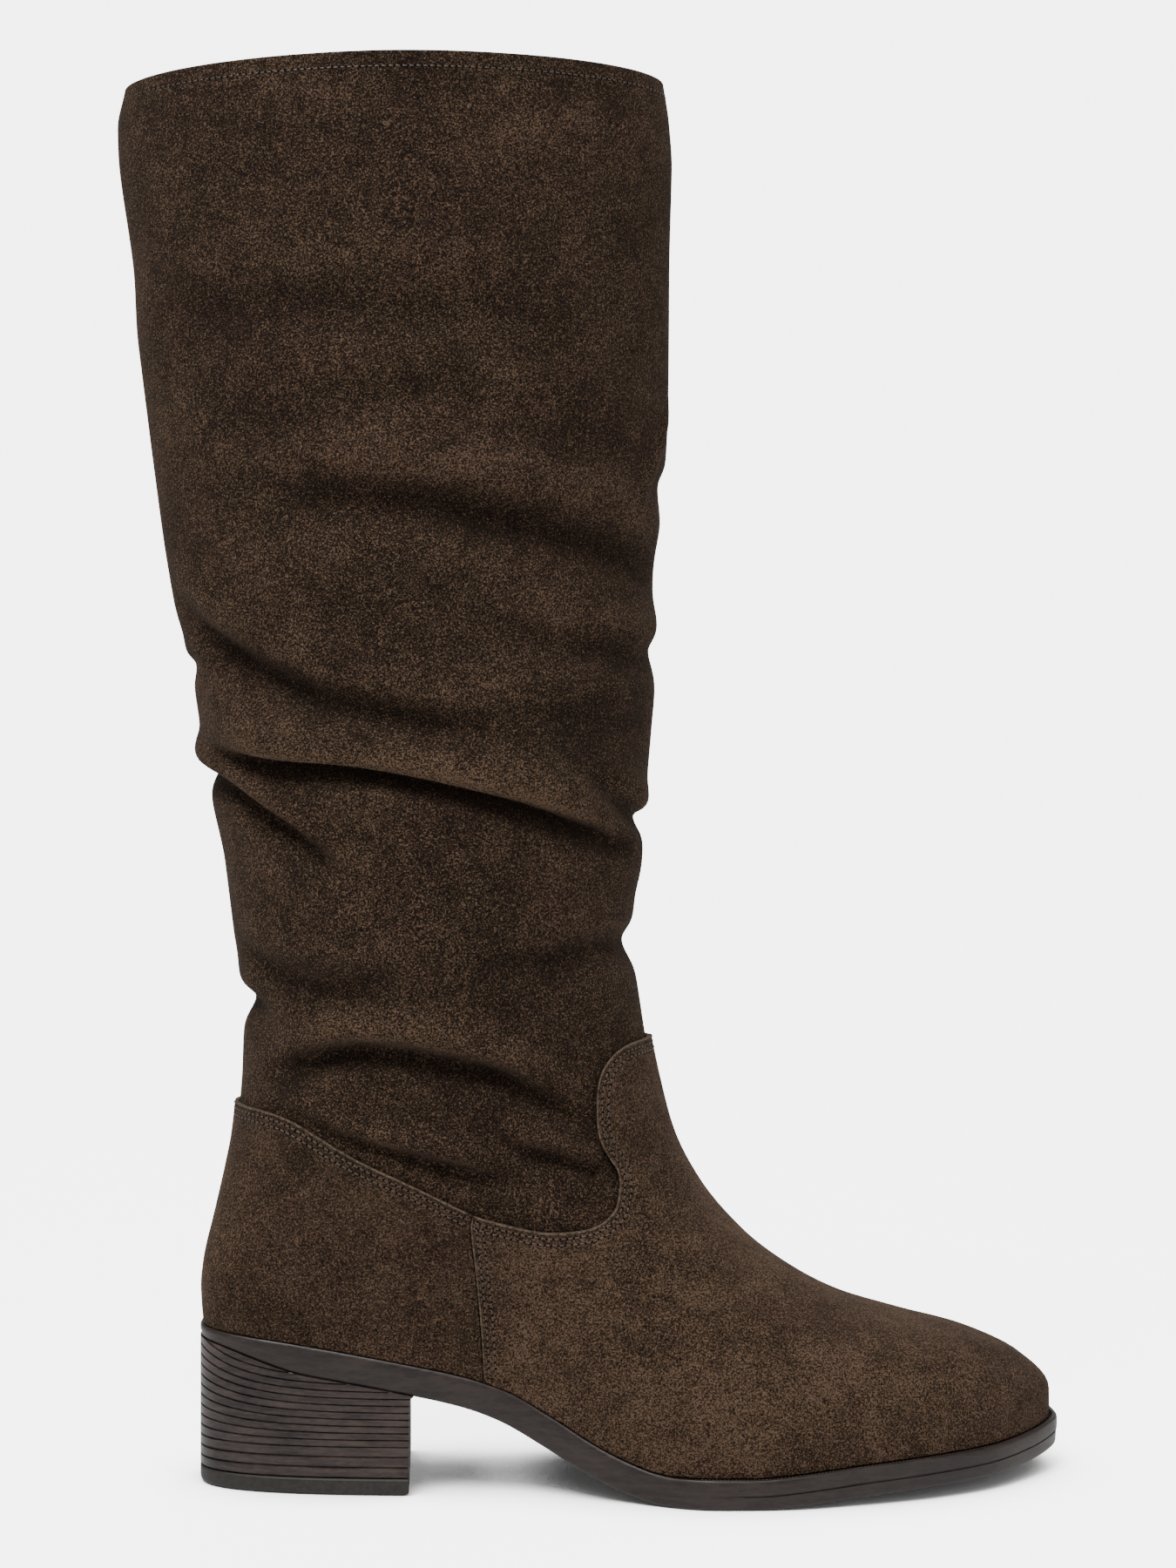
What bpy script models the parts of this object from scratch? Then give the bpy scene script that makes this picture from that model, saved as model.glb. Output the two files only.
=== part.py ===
"""Knee-high slouch boot with a block heel, as hollow pieces at their real size.

Metres, +Z up, toe towards +X. The origin is the centre of the heel's face on the floor.
A right boot: its outer (lateral) side is towards -Y.
"""

import math

import bmesh
import bpy
from mathutils import Vector

MM = 0.001

# Sole and last
SOLE_LENGTH = 262 * MM
BALL_WIDTH = 96 * MM
HEEL_BACK = -31.6 * MM
TOE_SWING = 5 * MM
SOLE_THICKNESS = 8.6 * MM
HEEL_RISE = 38.5 * MM
TOE_SPRING = 7.5 * MM
RIM_AT_TOE = 2.8 * MM
RIM_AT_HEEL = 0.7 * MM

# Upper
ANKLE_HEIGHT = 134 * MM
BOOT_HEIGHT = 420.5 * MM
COLLAR_RISE_AT_FRONT = 2 * MM
COLLAR_FULLNESS = 1.8
ANKLE_WIDTH = 79 * MM
COLLAR_LENGTH = 163.5 * MM
COLLAR_WIDTH = 90 * MM
COLLAR_LEAN = -54.6 * MM
UPPER_WALL = 1.5 * MM
VAMP_WALL = 1.5 * MM
COUNTER_WALL = 1.2 * MM

# Heel and insole
HEEL_LENGTH = 63.2 * MM
TOP_LIFT = 4.8 * MM
HEEL_LAYER = 3.05 * MM
LEVEL_LAYERS = 7
LAYER_GROOVE = 0.5 * MM
LAYER_GROOVE_WIDTH = 0.9 * MM
INSOLE_THICKNESS = 3 * MM

# Pieces that meet stand this far apart
GAP = 0.3 * MM

# How finely the lofts are cut
AROUND = 36
FOOT_RINGS = 13
SHAFT_RINGS = 25
SOLE_STATIONS = 56
HEEL_STATIONS = 8
CUTTER_REACH = 90 * MM
FAR_PAST = 60 * MM

# The sole from the side. at: share of the sole's length. rise: share of the rise at the heel.
# spring: share of the toe spring.
SOLE_LINE = (
    {"at": 0.00, "rise": 1.00, "spring": 0.0},
    {"at": 0.11, "rise": 0.915, "spring": 0.0},
    {"at": 0.24, "rise": 0.765, "spring": 0.0},
    {"at": 0.30, "rise": 0.675, "spring": 0.0},
    {"at": 0.34, "rise": 0.578, "spring": 0.0},
    {"at": 0.39, "rise": 0.390, "spring": 0.0},
    {"at": 0.44, "rise": 0.198, "spring": 0.0},
    {"at": 0.48, "rise": 0.080, "spring": 0.0},
    {"at": 0.51, "rise": 0.020, "spring": 0.0},
    {"at": 0.535, "rise": 0.0, "spring": 0.0},
    {"at": 0.62, "rise": 0.0, "spring": 0.0},
    {"at": 0.69, "rise": 0.0, "spring": 0.17},
    {"at": 0.75, "rise": 0.0, "spring": 0.34},
    {"at": 0.83, "rise": 0.0, "spring": 0.49},
    {"at": 0.91, "rise": 0.0, "spring": 0.61},
    {"at": 0.96, "rise": 0.0, "spring": 0.77},
    {"at": 1.00, "rise": 0.0, "spring": 1.00},
)

# The sole from above, half widths as shares of the ball width, before its ends are rounded.
SOLE_PLAN = (
    {"at": 0.00, "outer": 0.325, "inner": 0.320},
    {"at": 0.20, "outer": 0.325, "inner": 0.315},
    {"at": 0.36, "outer": 0.342, "inner": 0.285},
    {"at": 0.48, "outer": 0.450, "inner": 0.300},
    {"at": 0.58, "outer": 0.555, "inner": 0.358},
    {"at": 0.66, "outer": 0.566, "inner": 0.412},
    {"at": 0.74, "outer": 0.540, "inner": 0.430},
    {"at": 0.82, "outer": 0.500, "inner": 0.412},
    {"at": 0.90, "outer": 0.430, "inner": 0.362},
    {"at": 0.96, "outer": 0.320, "inner": 0.290},
    {"at": 1.00, "outer": 0.220, "inner": 0.220},
)
HEEL_FULLNESS = 3.0
TOE_FULLNESS = 4.0

# Rings of the foot, from the sole's edge to the ankle. back_at, front_at: shares of the sole's
# length. back_up, front_up: shares of the way up to the ankle. shaft: how far the ring has turned
# from the sole's plan to the shaft's oval. curve: how much of the sole's line it keeps.
# heel_full, toe_full: fullness of its ends. swell: its width against the sole's.
FOOT = (
    {"up": 0.00, "back_at": 0.0095, "back_up": -0.014, "front_at": 0.9840, "front_up": -0.012,
     "shaft": 0.00, "curve": 1.00, "heel_full": 3.0, "toe_full": 4.0, "swell": 1.000},
    {"up": 0.05, "back_at": 0.0070, "back_up": 0.060, "front_at": 0.9840, "front_up": 0.066,
     "shaft": 0.01, "curve": 1.00, "heel_full": 3.0, "toe_full": 3.8, "swell": 1.015},
    {"up": 0.11, "back_at": 0.0060, "back_up": 0.128, "front_at": 0.9565, "front_up": 0.145,
     "shaft": 0.04, "curve": 0.96, "heel_full": 3.0, "toe_full": 3.4, "swell": 1.025},
    {"up": 0.17, "back_at": 0.0080, "back_up": 0.197, "front_at": 0.8990, "front_up": 0.215,
     "shaft": 0.09, "curve": 0.88, "heel_full": 3.0, "toe_full": 3.0, "swell": 1.015},
    {"up": 0.23, "back_at": 0.0120, "back_up": 0.266, "front_at": 0.8270, "front_up": 0.264,
     "shaft": 0.17, "curve": 0.78, "heel_full": 2.9, "toe_full": 2.6, "swell": 0.990},
    {"up": 0.31, "back_at": 0.0185, "back_up": 0.346, "front_at": 0.7475, "front_up": 0.324,
     "shaft": 0.29, "curve": 0.64, "heel_full": 2.8, "toe_full": 2.4, "swell": 0.965},
    {"up": 0.40, "back_at": 0.0256, "back_up": 0.438, "front_at": 0.6795, "front_up": 0.408,
     "shaft": 0.42, "curve": 0.48, "heel_full": 2.7, "toe_full": 2.2, "swell": 0.945},
    {"up": 0.50, "back_at": 0.0328, "back_up": 0.535, "front_at": 0.6240, "front_up": 0.504,
     "shaft": 0.55, "curve": 0.33, "heel_full": 2.6, "toe_full": 2.1, "swell": 0.930},
    {"up": 0.63, "back_at": 0.0400, "back_up": 0.645, "front_at": 0.5745, "front_up": 0.626,
     "shaft": 0.70, "curve": 0.18, "heel_full": 2.5, "toe_full": 2.0, "swell": 0.920},
    {"up": 0.76, "back_at": 0.0445, "back_up": 0.760, "front_at": 0.5425, "front_up": 0.755,
     "shaft": 0.83, "curve": 0.07, "heel_full": 2.3, "toe_full": 2.0, "swell": 0.920},
    {"up": 0.89, "back_at": 0.0475, "back_up": 0.885, "front_at": 0.5260, "front_up": 0.882,
     "shaft": 0.94, "curve": 0.02, "heel_full": 2.1, "toe_full": 2.0, "swell": 0.930},
    {"up": 1.00, "back_at": 0.0485, "back_up": 1.000, "front_at": 0.5140, "front_up": 1.000,
     "shaft": 1.00, "curve": 0.00, "heel_full": 2.0, "toe_full": 2.0, "swell": 0.940},
)

# The shaft from the side and the front. rise: share of the way from ankle to collar. back,
# front, side: how far it stands out past a straight taper, as shares of the collar's length.
SHAFT = (
    {"rise": 0.00, "back": 0.000, "front": 0.000, "side": 0.000},
    {"rise": 0.06, "back": -0.010, "front": -0.018, "side": 0.012},
    {"rise": 0.11, "back": -0.006, "front": -0.033, "side": 0.018},
    {"rise": 0.18, "back": -0.006, "front": -0.011, "side": 0.016},
    {"rise": 0.25, "back": 0.004, "front": -0.006, "side": 0.020},
    {"rise": 0.32, "back": 0.008, "front": 0.002, "side": 0.022},
    {"rise": 0.40, "back": 0.013, "front": 0.010, "side": 0.014},
    {"rise": 0.46, "back": 0.028, "front": 0.000, "side": 0.016},
    {"rise": 0.54, "back": 0.033, "front": 0.008, "side": 0.014},
    {"rise": 0.65, "back": 0.034, "front": 0.021, "side": 0.012},
    {"rise": 0.73, "back": 0.034, "front": 0.020, "side": 0.010},
    {"rise": 0.82, "back": 0.025, "front": 0.018, "side": 0.008},
    {"rise": 0.91, "back": 0.028, "front": 0.019, "side": 0.006},
    {"rise": 0.96, "back": 0.022, "front": 0.012, "side": 0.002},
    {"rise": 1.00, "back": 0.000, "front": 0.000, "side": 0.000},
)

# The main slouch folds: soft troughs, each with a ridge above it. turn: four places along the
# fold, as shares of half a turn, 0 at the back and 1 at the front by the outer side, below 0 by
# the inner side. high: its height at each, as a share of the boot's height. deep, wide: shares of
# the ankle's width. ridge: the ridge's height as a share of the trough's depth.
FOLDS = (
    {"turn": (0.24, 0.48, 0.70, 1.04), "high": (0.696, 0.694, 0.674, 0.652),
     "deep": 0.045, "ridge": 0.60, "wide": 0.090},
    {"turn": (0.05, 0.22, 0.40, 0.66), "high": (0.632, 0.587, 0.550, 0.526),
     "deep": 0.052, "ridge": 0.30, "wide": 0.085},
    {"turn": (0.04, 0.34, 0.61, 0.95), "high": (0.520, 0.515, 0.491, 0.438),
     "deep": 0.088, "ridge": 0.55, "wide": 0.058},
    {"turn": (0.54, 0.70, 0.86, 1.20), "high": (0.604, 0.595, 0.590, 0.612),
     "deep": 0.036, "ridge": 0.25, "wide": 0.070},
    {"turn": (0.72, 0.84, 0.96, 1.18), "high": (0.512, 0.496, 0.487, 0.486),
     "deep": 0.060, "ridge": 0.25, "wide": 0.048},
    {"turn": (0.52, 0.70, 0.86, 1.18), "high": (0.368, 0.378, 0.388, 0.389),
     "deep": 0.037, "ridge": 0.30, "wide": 0.060},
    {"turn": (0.08, 0.20, 0.32, 0.46), "high": (0.380, 0.366, 0.355, 0.352),
     "deep": 0.038, "ridge": 0.40, "wide": 0.075},
    {"turn": (-0.30, -0.08, 0.10, 0.24), "high": (0.350, 0.357, 0.352, 0.328),
     "deep": 0.066, "ridge": 0.30, "wide": 0.050},
    {"turn": (0.24, 0.42, 0.56, 0.76), "high": (0.296, 0.314, 0.300, 0.244),
     "deep": 0.056, "ridge": 0.60, "wide": 0.052},
    {"turn": (-0.92, -0.70, -0.45, -0.18), "high": (0.655, 0.668, 0.690, 0.702),
     "deep": 0.045, "ridge": 0.55, "wide": 0.090},
    {"turn": (-0.66, -0.42, -0.22, -0.04), "high": (0.526, 0.555, 0.590, 0.622),
     "deep": 0.050, "ridge": 0.30, "wide": 0.085},
    {"turn": (-1.02, -0.70, -0.40, -0.08), "high": (0.468, 0.478, 0.500, 0.510),
     "deep": 0.078, "ridge": 0.55, "wide": 0.058},
    {"turn": (-0.92, -0.70, -0.50, -0.26), "high": (0.386, 0.378, 0.392, 0.412),
     "deep": 0.050, "ridge": 0.45, "wide": 0.060},
    {"turn": (-0.72, -0.50, -0.35, -0.18), "high": (0.258, 0.296, 0.308, 0.290),
     "deep": 0.045, "ridge": 0.60, "wide": 0.050},
)
RIDGE_UP = 1.7
STEEP_ABOVE = 0.85
SOFT_BELOW = 1.35
FOLD_FADE = 0.30
NARROWEST = 0.65
FADE_OVER_SEAM = 9 * MM

# The counter's top edge, from the back seam to the side seam. at: share of the sole's length.
# high: share of the ankle's height.
COUNTER_EDGE = (
    {"at": 0.000, "high": 0.850},
    {"at": 0.045, "high": 0.848},
    {"at": 0.105, "high": 0.826},
    {"at": 0.180, "high": 0.745},
    {"at": 0.250, "high": 0.680},
    {"at": 0.3125, "high": 0.619},
)
# The vamp's edge, from the side seam round the throat and up to the top of its tongue.
VAMP_EDGE = (
    {"at": 0.3125, "high": 0.619},
    {"at": 0.340, "high": 0.603},
    {"at": 0.393, "high": 0.581},
    {"at": 0.444, "high": 0.589},
    {"at": 0.470, "high": 0.622},
    {"at": 0.477, "high": 0.668},
    {"at": 0.476, "high": 0.706},
    {"at": 0.466, "high": 0.738},
    {"at": 0.456, "high": 0.775},
    {"at": 0.452, "high": 0.820},
    {"at": 0.453, "high": 0.892},
    {"at": 0.463, "high": 0.942},
    {"at": 0.487, "high": 0.979},
    {"at": 0.525, "high": 0.991},
)
# The side seam, where the vamp's edge lies against the counter, from the top down.
SIDE_SEAM = (
    {"at": 0.3125, "high": 0.619},
    {"at": 0.3100, "high": 0.588},
    {"at": 0.3150, "high": 0.500},
    {"at": 0.3215, "high": 0.370},
    {"at": 0.3255, "high": 0.235},
)
EDGE_STEPS = 2
SEAT_STEPS = 64


def through(keys, values, at):
    """A smooth line through values at keys that never overshoots them."""
    at = min(max(at, keys[0]), keys[-1])
    slopes = [(values[i + 1] - values[i]) / (keys[i + 1] - keys[i]) for i in range(len(keys) - 1)]
    tangents = [slopes[0]]
    for before, after in zip(slopes, slopes[1:]):
        level = before * after <= 0
        tangents.append(0.0 if level else 2 * before * after / (before + after))
    tangents.append(slopes[-1])
    i = max(j for j in range(len(slopes)) if keys[j] <= at)
    span = keys[i + 1] - keys[i]
    t = (at - keys[i]) / span
    return ((1 + 2 * t) * (1 - t) ** 2 * values[i] + t * (1 - t) ** 2 * span * tangents[i]
            + t * t * (3 - 2 * t) * values[i + 1] + t * t * (t - 1) * span * tangents[i + 1])


def column(rows, key, name, at):
    """The value of a table's column at a key."""
    return through([row[key] for row in rows], [row[name] for row in rows], at)


def blend(a, b, share):
    return a + (b - a) * share


def ease(share):
    """A step from 0 to 1 that starts and ends level."""
    share = min(max(share, 0.0), 1.0)
    return share * share * (3 - 2 * share)


def rounded_end(share, fullness):
    """Half width of an oval at a share of its length. A fullness of 2 is an ellipse."""
    return max(0.0, 1 - abs(1 - 2 * share) ** fullness) ** (1 / fullness)


def sole_x(at):
    return HEEL_BACK + at * SOLE_LENGTH


def sole_share(x):
    return (x - HEEL_BACK) / SOLE_LENGTH


def sole_under(x):
    """Height of the outsole's underside."""
    at = sole_share(x)
    return (HEEL_RISE * column(SOLE_LINE, "at", "rise", at)
            + TOE_SPRING * column(SOLE_LINE, "at", "spring", at))


def sole_top(x):
    """Height of the outsole's upper face: thicker upright where the waist is steep."""
    step = SOLE_LENGTH / 100
    slope = (sole_under(x + step) - sole_under(x - step)) / (2 * step)
    return sole_under(x) + SOLE_THICKNESS * math.sqrt(1 + slope * slope)


def sole_half(x, side):
    """Half width of the sole's plan before its ends are rounded. side: outer or inner."""
    return BALL_WIDTH * column(SOLE_PLAN, "at", side, sole_share(x))


def swing(x):
    """How far the sole's middle line has turned inwards."""
    return TOE_SWING * max(0.0, sole_share(x)) ** 2


def rim(x):
    return blend(RIM_AT_HEEL, RIM_AT_TOE, ease(2 * sole_share(x) - 0.4))


def edge_height(rows, x):
    """Height of an edge that runs along the boot, at a place along it."""
    return ANKLE_HEIGHT * column(rows, "at", "high", sole_share(x))


def seam_height(x):
    """The line above which the shaft is bare: over the counter, the throat and the tongue."""
    at = sole_share(x)
    if at <= COUNTER_EDGE[-1]["at"]:
        return edge_height(COUNTER_EDGE, x)
    low = edge_height(VAMP_EDGE[:4], x)
    throat_back, throat_front = VAMP_EDGE[3]["at"], VAMP_EDGE[5]["at"]
    return blend(low, ANKLE_HEIGHT, ease((at - throat_back) / (throat_front - throat_back)))


def turn_side(turn):
    """The side, and the share along the ring from back to front, of a turn from -1 to 1."""
    along = (1 - math.cos(math.pi * turn)) / 2
    return ("outer" if turn > 0 else "inner"), along


def ring_point(turn, back, front, shape):
    """A point of a ring between its back and front ends, each given as (x, z)."""
    side, along = turn_side(turn)
    x = blend(back[0], front[0], along)
    chord = blend(sole_top(back[0]), sole_top(front[0]), along)
    z = blend(back[1], front[1], along) + shape["curve"] * (sole_top(x) - chord)
    sole_part = (sole_half(x, side) - rim(x) - VAMP_WALL - GAP) * shape["swell"]
    half = blend(sole_part, shape["half"], shape["shaft"])
    full = shape["heel_full"] if along < 0.5 else shape["toe_full"]
    reach = half * rounded_end(along, full)
    middle = swing(x) * (1 - shape["shaft"])
    return Vector((x, middle - reach if side == "outer" else middle + reach, z))


def foot_ring(up):
    """A ring between the sole's edge and the ankle."""
    row = {name: column(FOOT, "up", name, up) for name in FOOT[0]}
    row["half"] = ANKLE_WIDTH / 2
    ends = []
    for end in ("back", "front"):
        x = sole_x(row[end + "_at"])
        ends.append((x, blend(sole_top(x) + GAP, ANKLE_HEIGHT, row[end + "_up"])))
    return [ring_point(turn, ends[0], ends[1], row) for turn in turns()]


def shaft_ring(rise):
    """A ring between the ankle and the collar."""
    out = {name: COLLAR_LENGTH * column(SHAFT, "rise", name, rise) for name in ("back", "front", "side")}
    back = blend(sole_x(FOOT[-1]["back_at"]), COLLAR_LEAN, rise) - out["back"]
    front = blend(sole_x(FOOT[-1]["front_at"]), COLLAR_LEAN + COLLAR_LENGTH, rise) + out["front"]
    z = blend(ANKLE_HEIGHT, BOOT_HEIGHT, rise)
    tilt = COLLAR_RISE_AT_FRONT * rise
    full = blend(2.0, COLLAR_FULLNESS, rise)
    row = {"curve": 0.0, "shaft": 1.0, "swell": 1.0, "heel_full": full, "toe_full": full,
           "half": blend(ANKLE_WIDTH, COLLAR_WIDTH, rise) / 2 + out["side"]}
    return [ring_point(turn, (back, z - tilt), (front, z + tilt), row) for turn in turns()]


def turns():
    """Where a ring's points lie, in shares of half a turn from the front by the inner side."""
    return [2 * i / AROUND - 1 for i in range(AROUND)]


def fold_depth(turn, point):
    """How far a point of the shaft moves outwards, from all the folds together.

    A fold narrower than the rings can show is drawn as narrow as they can.
    """
    narrowest = NARROWEST * (BOOT_HEIGHT - ANKLE_HEIGHT) / SHAFT_RINGS
    total = 0.0
    for fold in FOLDS:
        first, last = fold["turn"][0], fold["turn"][-1]
        wide = max(fold["wide"] * ANKLE_WIDTH, narrowest)
        for around in (turn, turn + 2, turn - 2):
            along = (around - first) / (last - first)
            if not 0 < along < 1:
                continue
            above = (point.z - through(fold["turn"], fold["high"], around) * BOOT_HEIGHT) / wide
            fade = ease(along / FOLD_FADE) * ease((1 - along) / FOLD_FADE)
            trough = math.exp(-((above / (STEEP_ABOVE if above > 0 else SOFT_BELOW)) ** 2))
            ridge = fold["ridge"] * math.exp(-((above - RIDGE_UP) ** 2))
            total += fold["deep"] * ANKLE_WIDTH * fade * (ridge - trough)
    bare = ease((point.z - seam_height(point.x)) / FADE_OVER_SEAM)
    held = ease((BOOT_HEIGHT - point.z) / (COLLAR_WIDTH / 3))
    return total * bare * held


def ring_normals(rings):
    """The outward normal at each point of a stack of rings."""
    normals = []
    for i, ring in enumerate(rings):
        below, above = rings[max(i - 1, 0)], rings[min(i + 1, len(rings) - 1)]
        row = []
        for j in range(len(ring)):
            across = ring[(j + 1) % len(ring)] - ring[j - 1]
            row.append(across.cross(above[j] - below[j]).normalized())
        normals.append(row)
    return normals


def offset(rings, distance):
    normals = ring_normals(rings)
    return [[p + n * distance for p, n in zip(ring, row)] for ring, row in zip(rings, normals)]


def upper_rings():
    """The outside of the upper, from the sole's edge to the collar, with its slouch folds."""
    rings = [foot_ring((i / FOOT_RINGS) ** 1.3) for i in range(FOOT_RINGS)]
    rings += [shaft_ring(i / SHAFT_RINGS) for i in range(SHAFT_RINGS + 1)]
    folded = []
    for ring, row in zip(rings, ring_normals(rings)):
        moves = [fold_depth(turn, p) for turn, p in zip(turns(), ring)]
        folded.append([p + n * move for p, n, move in zip(ring, row, moves)])
    return folded


def material(name, color, roughness):
    made = bpy.data.materials.new(name)
    made.use_nodes = True
    shader = made.node_tree.nodes["Principled BSDF"]
    shader.inputs["Base Color"].default_value = (*color, 1.0)
    shader.inputs["Roughness"].default_value = roughness
    shader.inputs["Metallic"].default_value = 0.0
    return made


def mesh_object(name, collection, finish=None):
    mesh = bpy.data.meshes.new(name)
    made = bpy.data.objects.new(name, mesh)
    collection.objects.link(made)
    if finish:
        mesh.materials.append(finish)
    return made


def loft(made, rings, capped):
    """Fills an object's mesh with the skin over closed rings, and strips across its two ends."""
    shape = bmesh.new()
    grid = [[shape.verts.new(p) for p in ring] for ring in rings]
    count = len(rings[0])
    for lower, upper in zip(grid, grid[1:]):
        for j in range(count):
            k = (j + 1) % count
            shape.faces.new((lower[j], lower[k], upper[k], upper[j]))
    if capped:
        for ring, down in ((grid[0], True), (grid[-1], False)):
            for j in range(count // 2):
                corners = [ring[j], ring[j + 1], ring[-j - 1], ring[-j]]
                corners = list(dict.fromkeys(corners))
                if len(corners) > 2:
                    shape.faces.new(corners[::-1] if down else corners)
    bmesh.ops.recalc_face_normals(shape, faces=shape.faces)
    bmesh.ops.triangulate(shape, faces=shape.faces, quad_method="FIXED")
    shape.to_mesh(made.data)
    shape.free()
    made.data.shade_smooth()
    made.data.set_sharp_from_angle(angle=math.radians(40))


def thicken(made, wall, outwards):
    shell = made.modifiers.new("Wall", "SOLIDIFY")
    shell.thickness = wall
    shell.offset = 1.0 if outwards else -1.0
    shell.use_quality_normals = True


def smooth_line(rows):
    """An edge's points from its table: a curve through each row, as (x, z)."""
    points = [Vector((sole_x(row["at"]), ANKLE_HEIGHT * row["high"])) for row in rows]
    ends = [2 * points[0] - points[1]] + points + [2 * points[-1] - points[-2]]
    line = []
    for a, b, c, d in zip(ends, ends[1:], ends[2:], ends[3:]):
        for step in range(EDGE_STEPS):
            t = step / EDGE_STEPS
            line.append(0.5 * (2 * b + (c - a) * t + (2 * a - 5 * b + 4 * c - d) * t * t
                               + (3 * b - a - 3 * c + d) * t ** 3))
    return line + [points[-1]]


def side_cutter(name, outline, collection):
    """A prism right across the boot over an outline seen from the side."""
    made = mesh_object(name, collection)
    shape = bmesh.new()
    face = shape.faces.new([shape.verts.new((p[0], -CUTTER_REACH, p[1])) for p in outline])
    swept = bmesh.ops.extrude_face_region(shape, geom=[face])["geom"]
    across = [v for v in swept if isinstance(v, bmesh.types.BMVert)]
    bmesh.ops.translate(shape, verts=across, vec=(0, 2 * CUTTER_REACH, 0))
    bmesh.ops.recalc_face_normals(shape, faces=shape.faces)
    shape.to_mesh(made.data)
    shape.free()
    made.hide_render = True
    made.display_type = "WIRE"
    return made


def cut(made, cutter, operation):
    step = made.modifiers.new("Cut", "BOOLEAN")
    step.operation = operation
    step.solver = "EXACT"
    step.object = cutter


def seat_line(start, end):
    """The line just over the outsole from one place along it to another, as (x, z).

    Past either end of the sole it runs on level.
    """
    inside = [sole_x(i / SEAT_STEPS) for i in range(SEAT_STEPS + 1)]
    low, high = min(start, end), max(start, end)
    steps = [low] + [x for x in inside if low < x < high] + [high]
    line = [Vector((x, sole_top(x) + GAP)) for x in steps]
    return line if start < end else line[::-1]


def vamp_outline():
    """The vamp from the side: its edge, the side seam, the sole's line, and well past the toe."""
    edge = smooth_line(VAMP_EDGE)
    seam = smooth_line(SIDE_SEAM)
    front = sole_x(1.0) + FAR_PAST
    return edge + [Vector((front, edge[-1][1]))] + seat_line(front, seam[-1][0]) + seam[-2:0:-1]


def counter_outline():
    """The counter from the side: its top edge, the side seam, the sole's line, past the heel."""
    back = sole_x(0.0) - FAR_PAST
    top = smooth_line(COUNTER_EDGE)
    seam = [p - Vector((GAP, 0)) for p in smooth_line(SIDE_SEAM)]
    return [Vector((back, top[0][1]))] + top[1:-1] + seam[:-1] + seat_line(seam[-1][0], back)


def whole_outline():
    """Everything above the outsole from the side. It trims the upper's lower edge to the sole."""
    back, front = sole_x(0.0) - FAR_PAST, sole_x(1.0) + FAR_PAST
    top = BOOT_HEIGHT + FAR_PAST
    return [Vector((back, top)), Vector((front, top))] + seat_line(front, back)


def overlay(name, rings, wall, outline, collections, finish):
    """A panel of the upper's own form, laid over it and cut to an outline from the side."""
    parts, cutters = collections
    made = mesh_object(name, parts, finish)
    loft(made, offset(rings, GAP), capped=False)
    thicken(made, wall, outwards=True)
    cut(made, side_cutter(name + "_cutter", outline, cutters), "INTERSECT")
    return made


def make_upper(rings, collections, finish):
    parts, cutters = collections
    made = mesh_object("upper", parts, finish)
    loft(made, rings, capped=False)
    thicken(made, UPPER_WALL, outwards=False)
    cut(made, side_cutter("upper_cutter", whole_outline(), cutters), "INTERSECT")


def sole_outline(inset, height):
    """The sole's plan as a ring: height gives z from x, inset draws it in all round."""
    ring = []
    count = 2 * SOLE_STATIONS
    for i in range(count):
        side, along = turn_side(2 * i / count - 1)
        x = blend(sole_x(0) + inset, sole_x(1) - inset, along)
        full = HEEL_FULLNESS if along < 0.5 else TOE_FULLNESS
        reach = (sole_half(x, side) - inset) * rounded_end(along, full)
        ring.append(Vector((x, swing(x) + (-reach if side == "outer" else reach), height(x))))
    return ring


def make_outsole(parts, finish):
    """A moulded sole: its foot edge rounded, a shallow step at half height, a lip at the top."""
    levels = (
        (0.9 * MM, 0.00),
        (0.4 * MM, 0.10),
        (0.3 * MM, 0.46),
        (0.0 * MM, 0.54),
        (0.0 * MM, 0.92),
        (0.5 * MM, 1.00),
    )
    rings = []
    for inset, share in levels:
        rings.append(sole_outline(inset, lambda x, t=share: blend(sole_under(x), sole_top(x), t)))
    made = mesh_object("outsole", parts, finish)
    loft(made, rings, capped=True)


def make_insole(parts, finish):
    inside = RIM_AT_TOE + VAMP_WALL + UPPER_WALL + 5 * GAP + INSOLE_THICKNESS / 2
    made = mesh_object("insole", parts, finish)
    rings = []
    for lift in (GAP, GAP + INSOLE_THICKNESS):
        rings.append(sole_outline(inside, lambda x, up=lift: sole_top(x) + up))
    loft(made, rings, capped=True)


def heel_outline(inset, height):
    """The heel's plan as a ring: the sole's own back, closed by a flat breast."""
    breast = sole_x(0) + HEEL_LENGTH - inset
    side_points = []
    for i in range(HEEL_STATIONS + 1):
        x = blend(sole_x(0) + inset, breast, (1 - math.cos(math.pi / 2 * i / HEEL_STATIONS)))
        along = (x - inset - sole_x(0)) / (SOLE_LENGTH - 2 * inset)
        side_points.append((x, rounded_end(along, HEEL_FULLNESS)))
    outer = [(x, swing(x) - (sole_half(x, "outer") - inset) * r) for x, r in side_points]
    inner = [(x, swing(x) + (sole_half(x, "inner") - inset) * r) for x, r in side_points]
    plan = outer + inner[:0:-1]
    return [Vector((x, y, height(x))) for x, y in plan]


def heel_levels():
    """The heel's rings from the top lift up, as (inset, height from x): grooves between layers.

    The heel is grooved as far up as its layers are whole. Its top lies along the sole.
    """
    base = TOP_LIFT + GAP
    half = LAYER_GROOVE_WIDTH / 2
    levels = [(0.0, lambda x: base)]
    for i in range(1, LEVEL_LAYERS + 1):
        for inset, shift in ((0.0, -half), (LAYER_GROOVE, 0.0), (0.0, half)):
            levels.append((inset, lambda x, z=base + i * HEEL_LAYER + shift: z))
    levels.append((0.0, lambda x: sole_under(x) - GAP))
    return levels


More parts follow.
